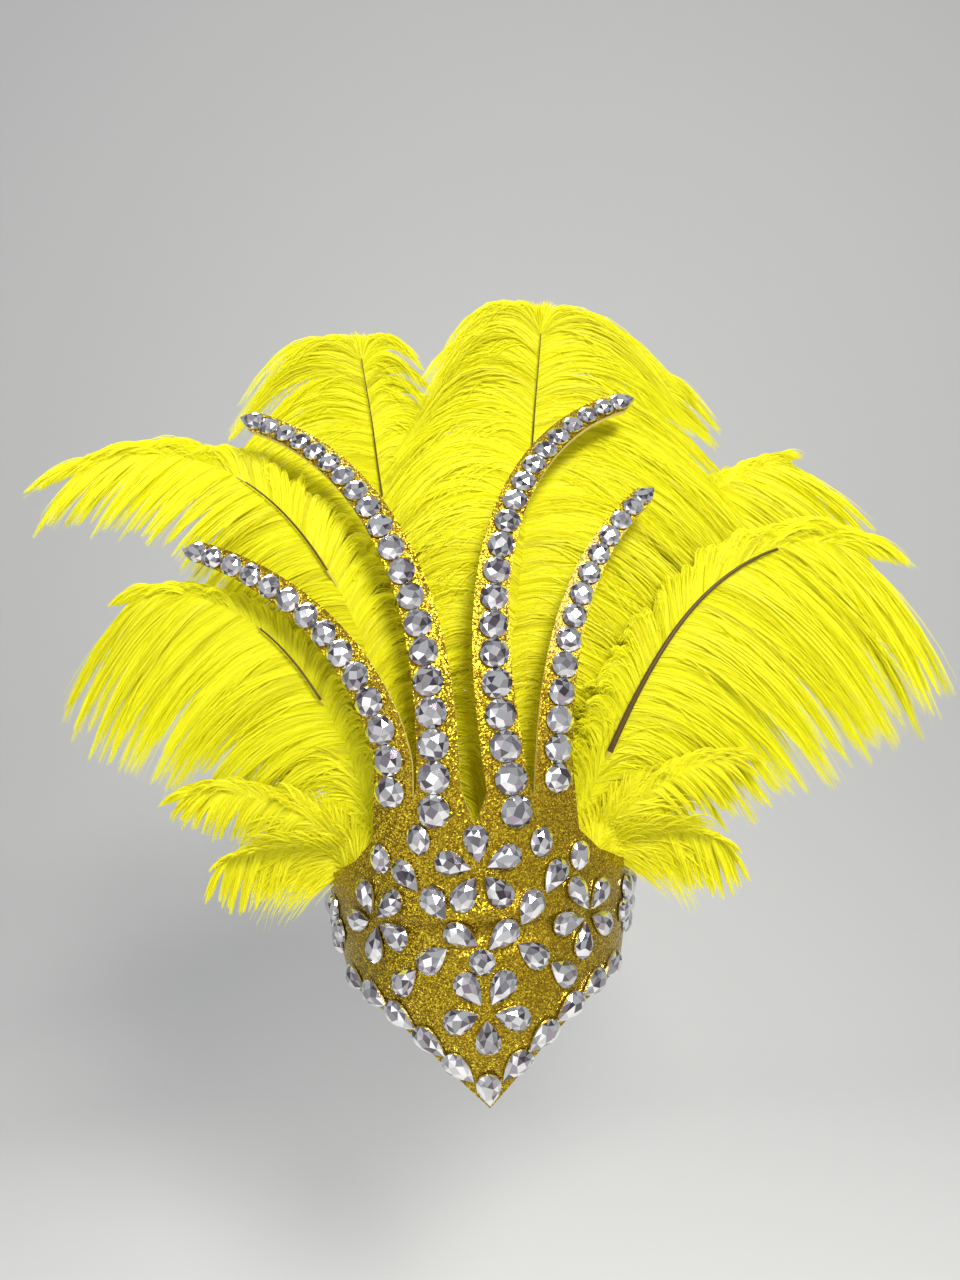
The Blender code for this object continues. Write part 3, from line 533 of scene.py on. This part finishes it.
def foam_mesh():
    """The flat pattern in small triangles, laid on the form, with a glitter face, a cut edge and a back."""
    rim = subdivided(foam_outline(), FOAM_FACET)
    flat = rim + inner_points(rim, FOAM_FACET * FOAM_GRID_SHARE)
    border = [(i, (i + 1) % len(rim)) for i in range(len(rim))]
    points, _, faces, _, _, _ = delaunay_2d_cdt([Vector(p) for p in flat], border, [], 1, FOAM_MERGE)
    flat = np.array([tuple(p) for p in points])
    outer, _, _, normal = skin_frames(flat[:, 0], flat[:, 1])
    count = len(flat)
    closed = [tuple(f) for f in faces]
    slots = [GLITTER_SLOT] * len(closed)
    closed += [tuple(i + count for i in reversed(f)) for f in faces]
    slots += [BACK_SLOT] * len(faces)
    used = {edge for f in faces for edge in zip(f, list(f[1:]) + [f[0]])}
    for a, b in sorted(used):
        if (b, a) not in used:
            closed.append((b, a, a + count, b + count))
            slots.append(EDGE_SLOT)
    both = np.concatenate([outer, outer - normal * FOAM_THICKNESS])
    mesh = mesh_from("foam_shield_skin", both, closed, slots)
    mesh.shade_smooth()
    mesh.set_sharp_from_angle(angle=math.radians(SHARP_ANGLE))
    return mesh


# Cut stones


def round_outline(width, sides):
    angles = [2.0 * math.pi * (i + 0.5) / sides for i in range(sides)]
    return [(width / 2.0 * math.cos(a), width / 2.0 * math.sin(a)) for a in angles]


def oval_outline(length, width, sides):
    return [(x * length / width, y) for x, y in round_outline(width, sides)]


def pear_outline(length, width, sides):
    """A round end and two full sides that meet in a point at +X."""
    radius = width / 2.0
    centre = radius - length / 2.0
    reach = length / 2.0 - centre
    arc = sides // 2 + 1
    flank = (sides - arc - 1) // 2
    shares = [(i + 1) / (flank + 1) for i in range(flank)]
    upper = [(centre + reach * share, radius * (1.0 - share**PEAR_FULLNESS)) for share in shares]
    angles = [math.pi / 2.0 + math.pi * i / (arc - 1) for i in range(arc)]
    round_end = [(centre + radius * math.cos(a), radius * math.sin(a)) for a in angles]
    lower = [(x, -y) for x, y in upper]
    return [*upper[::-1], *round_end, *lower, (length / 2.0, 0.0)]


def seat_lift(across, up, outline, placed):
    """How far a stone's flat back stands off the skin so that no point under it touches the foam."""
    origin, normal = placed.translation, placed.col[2].xyz
    _, right, rise, _ = skin_frame(across, up)
    corners = [placed @ Vector((x * s, y * s, 0.0)) - origin for x, y in outline for s in (0.5, 1.0)]
    aside = np.array([across + c.dot(right) for c in corners])
    above = np.array([up + c.dot(rise) * rise.z for c in corners])
    below = skins(aside, above) - np.array(origin)
    return max(0.0, float((below @ np.array(normal)).max())) + GLUE_GAP


def stone_matrix(across, up, angle, outline):
    """Where a stone lies on the foam, with its +X turned by angle (radians) from the direction across."""
    point, right, rise, normal = skin_frame(across, up)
    ahead = right * math.cos(angle) + rise * math.sin(angle)
    placed = Matrix.Identity(4)
    placed.col[0] = ahead.to_4d()
    placed.col[1] = normal.cross(ahead).to_4d()
    placed.col[2] = normal.to_4d()
    for column in range(3):
        placed.col[column][3] = 0.0
    placed.translation = point
    placed.translation = point + normal * seat_lift(across, up, outline, placed)
    return placed


def narrowed(ring, count, share):
    """Evenly chosen corners of a ring, count of them, drawn in towards the ring's middle."""
    step = len(ring) // count
    middle = np.mean(ring, axis=0)
    return [tuple(middle + (np.array(p) - middle) * share) for p in ring[::step]]


def stone_body(outline):
    """Points and facets of a cut stone: a wall, two rings of kite facets and a table."""
    sides = len(outline)
    height = STONE_HEIGHT_SHARE * 2.0 * max(abs(y) for _, y in outline)
    rings = [outline, outline]
    rings.append(narrowed(outline, sides // 2, CROWN_RINGS[2][0]))
    rings.append(narrowed(outline, sides // 4, CROWN_RINGS[3][0]))
    points = [(x, y, height * level) for ring, (_, level) in zip(rings, CROWN_RINGS) for x, y in ring]
    faces = [tuple(reversed(range(sides)))]
    faces += [(i, (i + 1) % sides, sides + (i + 1) % sides, sides + i) for i in range(sides)]
    outer = sides
    for count in (sides // 2, sides // 4):
        inner = outer + 2 * count
        for i in range(count):
            here, past, after = outer + 2 * i, outer + 2 * i + 1, outer + (2 * i + 2) % (2 * count)
            near, far = inner + i, inner + (i + 1) % count
            faces += [(here, past, near), (past, after, far), (past, far, near)]
        outer = inner
    faces.append(tuple(range(outer, outer + sides // 4)))
    return points, faces


def stones_mesh(name, stones, rng):
    """One mesh of cut stones, each given as (outline, across, up, angle), with a painted reflection on every
    facet.
    """
    points, faces, painted_reflections = [], [], []
    shares = np.array([row[3] for row in FACET_PAINTED_REFLECTIONS])
    for outline, across, up, angle in stones:
        placed = stone_matrix(across, up, angle, outline)
        body, facets = stone_body(outline)
        start = len(points)
        points += [placed @ Vector(p) for p in body]
        faces += [tuple(start + i for i in facet) for facet in facets]
        # Painted reflections: each facet gets a white, grey, dark or lilac tint drawn at random; the back and
        # side wall take only the two lightest
        picks = rng.choice(len(FACET_PAINTED_REFLECTIONS), size=len(facets), p=shares / shares.sum())
        sides = len(outline)
        picks[: sides + 1] = rng.choice(WALL_PAINTED_REFLECTION_COUNT, size=sides + 1)
        painted_reflections += [FACET_PAINTED_REFLECTIONS[pick][:3] + (1.0,) for pick in picks]
    mesh = mesh_from(name + "_cut", points, faces)
    corners = [painted_reflection for painted_reflection, facet in zip(painted_reflections, faces) for _ in facet]
    layer = mesh.attributes.new("painted_reflection", "FLOAT_COLOR", "CORNER")
    layer.data.foreach_set("color", np.array(corners, dtype=np.float32).ravel())
    return mesh


def tine_stones(name):
    rows = tine_layout(name)
    for index, (across, up, lean, size) in enumerate(rows):
        outline = round_outline(size, STONE_SIDES)
        if index == len(rows) - 1:
            outline = pear_outline(TIP_PEAR_SHARE * size, size, STONE_SIDES)
        yield outline, across, up, math.pi / 2.0 - lean


def rim_line(side):
    """The line that the rim stones follow, from the point outwards, inset from the foam's edge."""
    rim = [(0.0, -POINT_DROP)] + lower_rim(side)[::-1]
    points = []
    for (x0, z0), (x1, z1) in zip(rim, rim[1:]):
        length = math.hypot(x1 - x0, z1 - z0)
        nx, nz = -(z1 - z0) / length * side, (x1 - x0) / length * side
        points.append(((x0 + x1) / 2.0 + nx * RIM_STONE_INSET, (z0 + z1) / 2.0 + nz * RIM_STONE_INSET))
    return points


def rim_stones(side):
    """The drop stones along one side of the lower rim, each with its point towards the shield's point."""
    line = np.array(rim_line(side))
    places = skins(line[:, 0], line[:, 1])
    run = np.concatenate([[0.0], np.cumsum(np.linalg.norm(np.diff(places, axis=0), axis=1))])
    away = np.linalg.norm(places - np.array(skin(0.0, -POINT_DROP)), axis=1)
    start = float(np.interp(RIM_FIRST_STONE, away, run))
    outline = pear_outline(RIM_PEAR_LENGTH, PEAR_WIDTH, STONE_SIDES)
    for index in range(RIM_STONES):
        at = start + index * (RIM_PEAR_LENGTH - FUSE_OVERLAP)
        here = [float(np.interp(at, run, line[:, i])) for i in (0, 1)]
        ahead = [float(np.interp(at - RIM_PEAR_LENGTH / 2.0, run, line[:, i])) for i in (0, 1)]
        yield outline, here[0], here[1], math.atan2(ahead[1] - here[1], ahead[0] - here[0])


def petals(outline, across, up, first_angle, radius):
    """The petal stones round a flower's middle, each with its point facing inwards."""
    for petal in range(PETALS):
        away = math.radians(first_angle - 360.0 / PETALS * petal)
        yield outline, across + radius * math.cos(away), up + radius * math.sin(away), away + math.pi


def all_stones():
    """Every stone node's name and the stones in it."""
    pear = pear_outline(PEAR_LENGTH, PEAR_WIDTH, STONE_SIDES)
    oval = oval_outline(OVAL_LENGTH, OVAL_WIDTH, STONE_SIDES)
    for name in TINES:
        yield f"stone_row_{name}", list(tine_stones(name))
    for side, word in ((-1, "left"), (1, "right")):
        yield f"rim_row_{word}", list(rim_stones(side))
    for word, place in FLOWERS.items():
        for petal, stone in enumerate(petals(pear, *place, PETAL_RADIUS)):
            yield f"petal_stone_{word}_{petal + 1}", [stone]
    for word, place in TEMPLE_FLOWERS.items():
        yield f"temple_flower_{word}", list(petals(pear, *place, PEAR_LENGTH / 2.0 - FUSE_OVERLAP))
    for word, (across, up, degrees) in CHAIN_STONES.items():
        yield f"chain_stone_{word}", [(pear, across, up, math.radians(degrees))]
    for word, (across, up, degrees) in OVAL_STONES.items():
        yield f"oval_stone_{word}", [(oval, across, up, math.radians(degrees))]
    yield "middle_stone", [(round_outline(STONE_ROUND, STONE_SIDES), 0.0, MIDDLE_STONE_UP, 0.0)]
    yield "point_stone", [(pear, 0.0, POINT_STONE_RISE - POINT_DROP, -math.pi / 2.0)]


# Feathers


def smooth_step(low, high, value):
    share = np.clip((value - low) / (high - low), 0.0, 1.0)
    return share * share * (3.0 - 2.0 * share)


def behind(x, z, layer):
    """The depth of a feather layer at (x, z): it follows the foam's back, then runs on almost flat."""
    level = np.maximum(z, FEATHER_FLOOR)
    half_width = HEAD_HALF_WIDTH * form_column(level, 1)
    wrap = HEAD_HALF_LENGTH * form_column(level, 2)
    turned = smooth_step(LAYER_TURN_FROM, LAYER_TURN_TO, z)
    widest = QUILL_BOW_SHARE + (PLUME_BOW_SHARE - QUILL_BOW_SHARE) * turned
    share = np.minimum(np.abs(x) / half_width, widest)
    straight = np.sqrt(1.0 - share * share)
    flare = PLUME_FLARE * np.maximum(0.0, np.abs(x) - widest * half_width)
    seat = (FOAM_THICKNESS + BACK_GAP + SHAFT_THICKNESS / 2.0) / straight
    away = (LAYER_BASE + LAYER_STEP * layer) * turned
    return -HEAD_HALF_LENGTH + set_back(level) + wrap * (1.0 - straight) + flare + seat + away


def vane_profile(share):
    """How long the barbs are along the vane: fullest near the middle, shorter at both ends."""
    swell = np.sin(math.pi * (VANE_SWELL_FROM + VANE_SWELL_SPAN * share))
    return VANE_SHORTEST + (1.0 - VANE_SHORTEST) * swell


class Feather:
    """A feather's shaft line and habit, from its row."""

    def __init__(self, row):
        x, z, length, root_lean, tip_lean, bend, start, left, right = row[:9]
        self.droop, self.tip_spread, self.layer = row[9:]
        self.line, self.leans = bent_line((x, z), length, root_lean, tip_lean, bend, SHAFT_LINE_STATIONS)
        self.start = start
        self.longest = {-1: left, 1: right}

    def at(self, share):
        """Shaft points and leans at shares of the whole shaft."""
        stations = np.asarray(share) * (len(self.line) - 1)
        steps = np.arange(len(self.line))
        x, z, lean = (np.interp(stations, steps, v) for v in (self.line[:, 0], self.line[:, 1], self.leans))
        return x, z, lean

    def barbs(self, side, share, size, spread_share, turn, droop_share, along):
        """(x, z) along barbs, one row a barb. share is of the vane, turn is an extra angle in radians."""
        x, z, lean = self.at(self.start + (1.0 - self.start) * share)
        uppermost = np.maximum(0.0, -side * np.sin(lean))
        turned = (self.tip_spread - BARB_ROOT_ANGLE) * np.maximum(share, 0.0) ** 3
        spread = np.radians(BARB_ROOT_ANGLE + turned)
        heading = lean + side * spread * spread_share * (1.0 - UPPER_BARB_FLOP * uppermost) + turn
        fall = self.droop * droop_share * (1.0 - uppermost) * size
        curl = (BARB_CURL + UPPER_BARB_CURL * uppermost) * size
        reach = size[:, None] * along[None, :]
        across = x[:, None] + reach * np.sin(heading)[:, None]
        up = z[:, None] + reach * np.cos(heading)[:, None] - fall[:, None] * along[None, :] ** 2
        up -= curl[:, None] * along[None, :] ** 3
        return across, up


def barb_lines(feather, side, count, strands, rng):
    """Centre lines of the barbs on one side, gathered in strands, and each barb's tone."""
    along = np.linspace(0.0, 1.0, BARB_STATIONS)
    share = (np.arange(count) + rng.random(count)) / count
    uneven = rng.uniform(-STRAND_UNEVENNESS, STRAND_UNEVENNESS, strands - 1)
    edges = (np.arange(1, strands) + uneven) / strands
    group = np.searchsorted(edges, share)
    bounds = np.concatenate([[0.0], edges, [1.0]])
    middle = (bounds[group] + bounds[group + 1]) / 2.0
    turns = np.radians(rng.normal(0.0, STRAND_ANGLE_SPREAD, strands))[group]
    droops = (1.0 + rng.normal(0.0, STRAND_DROOP_SPREAD, strands))[group]
    scale = (1.0 - STRAND_LENGTH_SPREAD * rng.random(strands) ** SHORTNESS_POWER)[group]
    loose = rng.random(count) < LOOSE_BARBS
    size = feather.longest[side] * vane_profile(share) * scale
    size *= 1.0 - BARB_LENGTH_SPREAD * (1.0 + loose) * rng.random(count) ** SHORTNESS_POWER
    ones = np.ones(count)
    aside = np.radians(rng.normal(0.0, BARB_ANGLE_SPREAD, count))
    x, z = feather.barbs(side, share, size, ones, turns + aside, droops, along)
    strand_size = feather.longest[side] * vane_profile(middle) * scale
    cx, cz = feather.barbs(side, middle, strand_size, ones, turns, droops, along)
    freely = LOOSE_PULL * rng.random(count)
    firmly = STRAND_PULL * (HELD_AT_LEAST + (1.0 - HELD_AT_LEAST) * rng.random(count))
    held = np.where(loose, freely, firmly)
    pull = held[:, None] * smooth_step(STRAND_PULL_FROM, 1.0, along)[None, :]
    x += (cx - x) * pull
    z += (cz - z) * pull
    strand_lift = np.clip(rng.normal(0.0, STRAND_LOOSENESS, strands), -STRAND_LIFT_LIMIT, STRAND_LIFT_LIMIT)
    lift = strand_lift[group][:, None] * along[None, :]
    lift = lift + rng.normal(0.0, BARB_LOOSENESS, count)[:, None] * (ROOT_LOOSENESS + along[None, :])
    # Random tone per strand and per barb: partly the dye's unevenness, partly painted shade between strands
    tone = STRAND_TONE_SHARE * rng.random(strands)[group] + (1.0 - STRAND_TONE_SHARE) * rng.random(count)
    return np.stack([x, behind(x, z, feather.layer) + lift, z], axis=-1), tone


def extra_lines(feather, side, count, rng, down_length=0.0):
    """Downy barbs of down_length under the vane, or, without one, the fan of barbs round the shaft's tip."""
    along = np.linspace(0.0, 1.0, BARB_STATIONS)
    if down_length:
        rooted = rng.uniform(DOWN_FROM, feather.start + DOWN_PAST_VANE, count)
        share = (rooted - feather.start) / (1.0 - feather.start)
        size = down_length * (DOWN_SHORTEST + (1.0 - DOWN_SHORTEST) * rng.random(count))
        spread = DOWN_SPREAD[0] + (DOWN_SPREAD[1] - DOWN_SPREAD[0]) * rng.random(count)
        droop = np.full(count, DOWN_DROOP)
    else:
        share = 1.0 - TIP_FAN_ROOTS * rng.random(count)
        spread = rng.random(count)
        middling = (feather.longest[-1] + feather.longest[1]) / 2.0
        reach = middling + (feather.longest[side] - middling) * spread
        size = reach * vane_profile(share) * (TIP_FAN_EVENNESS + (1.0 - TIP_FAN_EVENNESS) * rng.random(count))
        size *= TIP_FAN_SHORTEST + (1.0 - TIP_FAN_SHORTEST) * spread**2
        droop = spread
    x, z = feather.barbs(side, share, size, spread, np.zeros(count), droop, along)
    loosened = EXTRA_LIFT[0] + (EXTRA_LIFT[1] - EXTRA_LIFT[0]) * along[None, :]
    lift = rng.normal(0.0, STRAND_LOOSENESS, count)[:, None] * loosened
    # Each barb's random tone, partly the dye's unevenness and partly painted shade
    return np.stack([x, behind(x, z, feather.layer) + lift, z], axis=-1), rng.random(count)


def ribbon_arrays(centres, tone, rng):
    """Vertices, quads and each vertex's tone, of ribbons along centre lines."""
    count, stations, _ = centres.shape
    ahead = np.gradient(centres, axis=1)
    ahead /= np.linalg.norm(ahead, axis=2, keepdims=True) + NEAR_ZERO
    flat = np.cross(ahead, DEPTH_AXIS)
    flat /= np.linalg.norm(flat, axis=2, keepdims=True) + NEAR_ZERO
    edge = np.cross(ahead, flat)
    along = np.linspace(0.0, 1.0, stations)
    root_twist = rng.normal(0.0, BARB_TWIST, count)
    tip_twist = rng.normal(0.0, BARB_TIP_TWIST, count)
    twist = root_twist[:, None] + tip_twist[:, None] * along[None, :]
    across = flat * np.cos(twist)[..., None] + edge * np.sin(twist)[..., None]
    half = BARB_WIDTH / 2.0 * (1.0 - (1.0 - BARB_TIP_SHARE) * along**BARB_TAPER_POWER)
    reach = across * half[None, :, None]
    points = np.stack([centres - reach, centres + reach], axis=2).reshape(-1, 3)
    base = (np.arange(count) * stations)[:, None] + np.arange(stations - 1)[None, :]
    low = 2 * base.ravel()
    quads = np.stack([low, low + 1, low + 3, low + 2], axis=1)
    return points, quads, np.repeat(tone, 2 * stations)


def shaft_arrays(feather, root_radius, shown):
    """Points, quads and slots of the shaft, a tapering tube, dark and in front only where it shows."""
    share = np.linspace(0.0, SHAFT_END, SHAFT_RINGS)
    x, z, lean = feather.at(share)
    risen = smooth_step(LAYER_TURN_FROM, LAYER_TURN_TO, z)
    bare = smooth_step(shown[0] - SHAFT_FADE, shown[0], share)
    bare = bare * (1.0 - smooth_step(shown[1], shown[1] + SHAFT_FADE, share))
    y = behind(x, z, feather.layer) + (SHAFT_SUNK - (SHAFT_STAND_OFF + SHAFT_SUNK) * bare) * risen
    radius = root_radius * (1.0 - (1.0 - SHAFT_TIP_SHARE) * share)
    angles = 2.0 * math.pi * np.arange(SHAFT_SIDES) / SHAFT_SIDES
    sideways = np.stack([np.cos(lean), 0.0 * lean, -np.sin(lean)], axis=-1)
    forwards = DEPTH_AXIS * np.sin(angles)[None, :, None]
    ring = sideways[:, None, :] * np.cos(angles)[None, :, None] + forwards
    points = np.stack([x, y, z], axis=-1)[:, None, :] + ring * radius[:, None, None]
    rows = np.arange(SHAFT_RINGS - 1)[:, None] * SHAFT_SIDES
    here = np.arange(SHAFT_SIDES)[None, :]
    past = (here + 1) % SHAFT_SIDES
    above = rows + SHAFT_SIDES
    quads = np.stack([rows + here, rows + past, above + past, above + here], axis=-1)
    dark = (bare[:-1] > DARK_FROM) & (bare[1:] > DARK_FROM)
    slots = np.repeat(np.where(dark, DARK_SHAFT_SLOT, PALE_SHAFT_SLOT), SHAFT_SIDES)
    return points.reshape(-1, 3), quads.reshape(-1, 4), slots


def array_mesh(name, points, quads, tones, slots):
    """A mesh from arrays, with each vertex's tone in the red of its "shade"."""
    mesh = bpy.data.meshes.new(name)
    mesh.vertices.add(len(points))
    mesh.vertices.foreach_set("co", np.asarray(points, dtype=np.float32).ravel())
    mesh.loops.add(4 * len(quads))
    mesh.loops.foreach_set("vertex_index", np.asarray(quads, dtype=np.int32).ravel())
    mesh.polygons.add(len(quads))
    mesh.polygons.foreach_set("loop_start", np.arange(len(quads), dtype=np.int32) * 4)
    mesh.polygons.foreach_set("material_index", np.asarray(slots, dtype=np.int32))
    mesh.update(calc_edges=True)
    layer = mesh.attributes.new("shade", "FLOAT_COLOR", "POINT")
    colours = np.zeros((len(points), 4), dtype=np.float32)
    colours[:, 0] = tones
    colours[:, 3] = 1.0
    layer.data.foreach_set("color", colours.ravel())
    mesh.shade_smooth()
    return mesh


def feather_mesh(name, row, looks, seed):
    """A feather of single barbs (slot 0) on its shaft (the dark and pale slots)."""
    count, strands, downy, down_length, radius, *shown = looks
    rng = np.random.default_rng(seed)
    feather = Feather(row)
    centres, barb_tones = [], []
    for side in (-1, 1):
        for made in (
            barb_lines(feather, side, count, strands, rng),
            extra_lines(feather, side, TIP_FAN_BARBS, rng),
            extra_lines(feather, side, downy, rng, down_length),
        ):
            centres.append(made[0])
            barb_tones.append(made[1])
    points, quads, tones = ribbon_arrays(np.concatenate(centres), np.concatenate(barb_tones), rng)
    shaft_points, shaft_quads, shaft_slots = shaft_arrays(feather, radius, shown)
    slots = np.concatenate([np.zeros(len(quads), dtype=np.int32), shaft_slots])
    quads = np.concatenate([quads, shaft_quads + len(points)])
    tones = np.concatenate([tones, np.zeros(len(shaft_points))])
    return array_mesh(name + "_barbs", np.concatenate([points, shaft_points]), quads, tones, slots)


# Finishes


def new_material(name, colour, metallic, roughness):
    """A material with one Principled shader, its node tree and that shader."""
    material = bpy.data.materials.new(name)
    material.use_nodes = True
    tree = material.node_tree
    shader = tree.nodes["Principled BSDF"]
    shader.inputs["Base Color"].default_value = (*colour, 1.0)
    shader.inputs["Metallic"].default_value = metallic
    shader.inputs["Roughness"].default_value = roughness
    return material, tree, shader


def plain_finish(name):
    return new_material(name, *BASES[name])[0]


def add_coat(shader, weight, roughness):
    shader.inputs["Coat Weight"].default_value = weight
    shader.inputs["Coat Roughness"].default_value = roughness


def ramp(tree, source, stops):
    """A colour ramp with stops of (place, colour), fed by source."""
    node = tree.nodes.new("ShaderNodeValToRGB")
    while len(node.color_ramp.elements) < len(stops):
        node.color_ramp.elements.new(0.5)
    for element, (place, colour) in zip(node.color_ramp.elements, stops):
        element.position = place
        element.color = (*colour, 1.0)
    tree.links.new(source, node.inputs["Fac"])
    return node.outputs["Color"]


def glitter_finish():
    """Foam under a layer of small gold flakes, each turned its own way."""
    material, tree, shader = new_material("gold_glitter", *BASES["gold_glitter"])
    place = tree.nodes.new("ShaderNodeTexCoord")
    flakes = tree.nodes.new("ShaderNodeTexVoronoi")
    flakes.inputs["Scale"].default_value = FLAKE_SCALE
    tree.links.new(place.outputs["Object"], flakes.inputs["Vector"])
    split = tree.nodes.new("ShaderNodeSeparateColor")
    tree.links.new(flakes.outputs["Color"], split.inputs["Color"])
    tree.links.new(ramp(tree, split.outputs["Red"], FLAKE_TONES), shader.inputs["Base Color"])
    spread = tree.nodes.new("ShaderNodeVectorMath")
    spread.operation = "MULTIPLY_ADD"
    spread.inputs[1].default_value = (2.0 * FLAKE_TILT,) * 3
    spread.inputs[2].default_value = (-FLAKE_TILT,) * 3
    tree.links.new(flakes.outputs["Color"], spread.inputs[0])
    normal = tree.nodes.new("ShaderNodeNewGeometry")
    tilted = tree.nodes.new("ShaderNodeVectorMath")
    tilted.operation = "ADD"
    tree.links.new(normal.outputs["Normal"], tilted.inputs[0])
    tree.links.new(spread.outputs["Vector"], tilted.inputs[1])
    unit = tree.nodes.new("ShaderNodeVectorMath")
    unit.operation = "NORMALIZE"
    tree.links.new(tilted.outputs["Vector"], unit.inputs[0])
    tree.links.new(unit.outputs["Vector"], shader.inputs["Normal"])
    add_coat(shader, *GLITTER_COAT)
    return material


def stone_finish():
    """Clear stone over silver foil: each facet has a painted reflection of its own, light or dark, under a
    clear coat.
    """
    material, tree, shader = new_material("silvered_stone", *BASES["silvered_stone"])
    painted_reflection = tree.nodes.new("ShaderNodeAttribute")
    painted_reflection.attribute_name = "painted_reflection"
    tree.links.new(painted_reflection.outputs["Color"], shader.inputs["Base Color"])
    add_coat(shader, *STONE_COAT)
    return material


def barb_finish(name):
    """Dyed barbs, each with a random tone, partly the dye's unevenness and partly painted shade, which let
    light through from behind.
    """
    dark, light, glow = BARB_FINISHES[name]
    material, tree, shader = new_material(name, light, 0.0, BARB_ROUGHNESS)
    shade = tree.nodes.new("ShaderNodeAttribute")
    shade.attribute_name = "shade"
    split = tree.nodes.new("ShaderNodeSeparateColor")
    tree.links.new(shade.outputs["Color"], split.inputs["Color"])
    colour = ramp(tree, split.outputs["Red"], ((0.0, dark), (BARB_LIGHT_FROM, light), (1.0, light)))
    tree.links.new(colour, shader.inputs["Base Color"])
    through = tree.nodes.new("ShaderNodeBsdfTranslucent")
    through.inputs["Color"].default_value = (*glow, 1.0)
    mix = tree.nodes.new("ShaderNodeMixShader")
    mix.inputs["Fac"].default_value = BARB_TRANSLUCENCE
    tree.links.new(shader.outputs["BSDF"], mix.inputs[1])
    tree.links.new(through.outputs["BSDF"], mix.inputs[2])
    tree.links.new(mix.outputs["Shader"], tree.nodes["Material Output"].inputs["Surface"])
    return material


def strap_finish():
    """Pale elastic with a fine knobbly weave."""
    material, tree, shader = new_material("pale_elastic", *BASES["pale_elastic"])
    place = tree.nodes.new("ShaderNodeTexCoord")
    rib = tree.nodes.new("ShaderNodeTexVoronoi")
    rib.inputs["Scale"].default_value = STRAP_RIB_SCALE
    tree.links.new(place.outputs["Object"], rib.inputs["Vector"])
    tree.links.new(ramp(tree, rib.outputs["Distance"], STRAP_TONES), shader.inputs["Base Color"])
    bump = tree.nodes.new("ShaderNodeBump")
    bump.inputs["Strength"].default_value = STRAP_BUMP_STRENGTH
    bump.inputs["Distance"].default_value = STRAP_BUMP_DEPTH
    tree.links.new(rib.outputs["Distance"], bump.inputs["Height"])
    tree.links.new(bump.outputs["Normal"], shader.inputs["Normal"])
    return material


# Stage, light and camera


def add_stage():
    """A pale floor that sweeps up into a pale wall behind the piece."""
    profile = [(STAGE_FRONT, FLOOR_HEIGHT)]
    for turn in np.linspace(0.0, math.pi / 2.0, SWEEP_STATIONS):
        depth = WALL_DEPTH - SWEEP_RADIUS * (1.0 - math.sin(turn))
        profile.append((depth, FLOOR_HEIGHT + SWEEP_RADIUS * (1.0 - math.cos(turn))))
    profile.append((WALL_DEPTH, STAGE_TOP))
    points = [(side * STAGE_HALF_WIDTH, y, z) for y, z in profile for side in (-1, 1)]
    faces = [(2 * i, 2 * i + 1, 2 * i + 3, 2 * i + 2) for i in range(len(profile) - 1)]
    mesh = mesh_from("pale_sweep", points, faces)
    mesh.shade_smooth()
    mesh.materials.append(plain_finish("pale_wall"))
    sweep = bpy.data.objects.new("pale_sweep", mesh)
    bpy.context.scene.collection.objects.link(sweep)
    sweep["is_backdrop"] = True


def add_light(name, place, size, watts, colour, spread):
    lamp = bpy.data.lights.new(name, "AREA")
    lamp.energy = watts
    lamp.size = size
    lamp.color = colour
    lamp.spread = math.radians(spread)
    light = bpy.data.objects.new(name, lamp)
    light.location = place
    light.rotation_euler = (Vector(place) - Vector(LIGHT_AIM)).to_track_quat("Z", "Y").to_euler()
    bpy.context.scene.collection.objects.link(light)


def add_world():
    world = bpy.data.worlds.new("soft_room")
    world.use_nodes = True
    back = world.node_tree.nodes["Background"]
    back.inputs["Color"].default_value = (*ROOM_COLOUR, 1.0)
    back.inputs["Strength"].default_value = ROOM_STRENGTH
    bpy.context.scene.world = world


def add_camera():
    lens = bpy.data.cameras.new("photo_camera")
    lens.sensor_fit = "VERTICAL"
    lens.sensor_height = SENSOR_HEIGHT
    lens.lens = FOCAL_PIXELS / FRAME_HEIGHT_PIXELS * SENSOR_HEIGHT
    lens.clip_start = CLIP_START
    camera = bpy.data.objects.new("photo_camera", lens)
    turn = Matrix.Rotation(math.pi / 2.0, 4, "X") @ Matrix.Rotation(-CAMERA_ROLL, 4, "Z")
    camera.matrix_world = Matrix.Translation(CAMERA_PLACE) @ turn
    bpy.context.scene.collection.objects.link(camera)
    bpy.context.scene.camera = camera
    bpy.context.scene.view_settings.view_transform = "Standard"


def main():
    foam_finishes = (glitter_finish(), plain_finish("foam_cut_edge"), plain_finish("foam_back"))
    silver = stone_finish()
    barbs = barb_finish("yellow_barbs")
    down = barb_finish("yellow_down")
    shafts = (plain_finish("brown_shaft"), plain_finish("yellow_shaft"))

    add_piece("foam_shield_skin", foam_mesh(), "glitter_foam", foam_finishes, "foam_shield")
    rng = np.random.default_rng(STONE_SEED)
    for name, stones in all_stones():
        add_piece(name + "_cut", stones_mesh(name, stones, rng), "stone", (silver,), name)
    for seed, (name, row) in enumerate(PLUMES.items(), PLUME_SEED):
        mesh = feather_mesh(name, row, PLUME_LOOKS[name], seed)
        add_piece(name + "_barbs", mesh, "plume", (barbs, *shafts), name)
    for seed, (name, row) in enumerate(SIDE_FEATHERS.items(), SIDE_SEED):
        mesh = feather_mesh(name, row, SIDE_LOOKS, seed)
        add_piece(name + "_barbs", mesh, "side_feather", (down, *shafts), name)
    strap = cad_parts["head_strap"]
    strap.data.materials.clear()
    strap.data.materials.append(strap_finish())

    add_stage()
    for name, row in LIGHTS.items():
        add_light(name, *row)
    add_world()
    add_camera()


main()
[[list(corner) for corner in box] for box in (CAD_BOUNDS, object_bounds())]
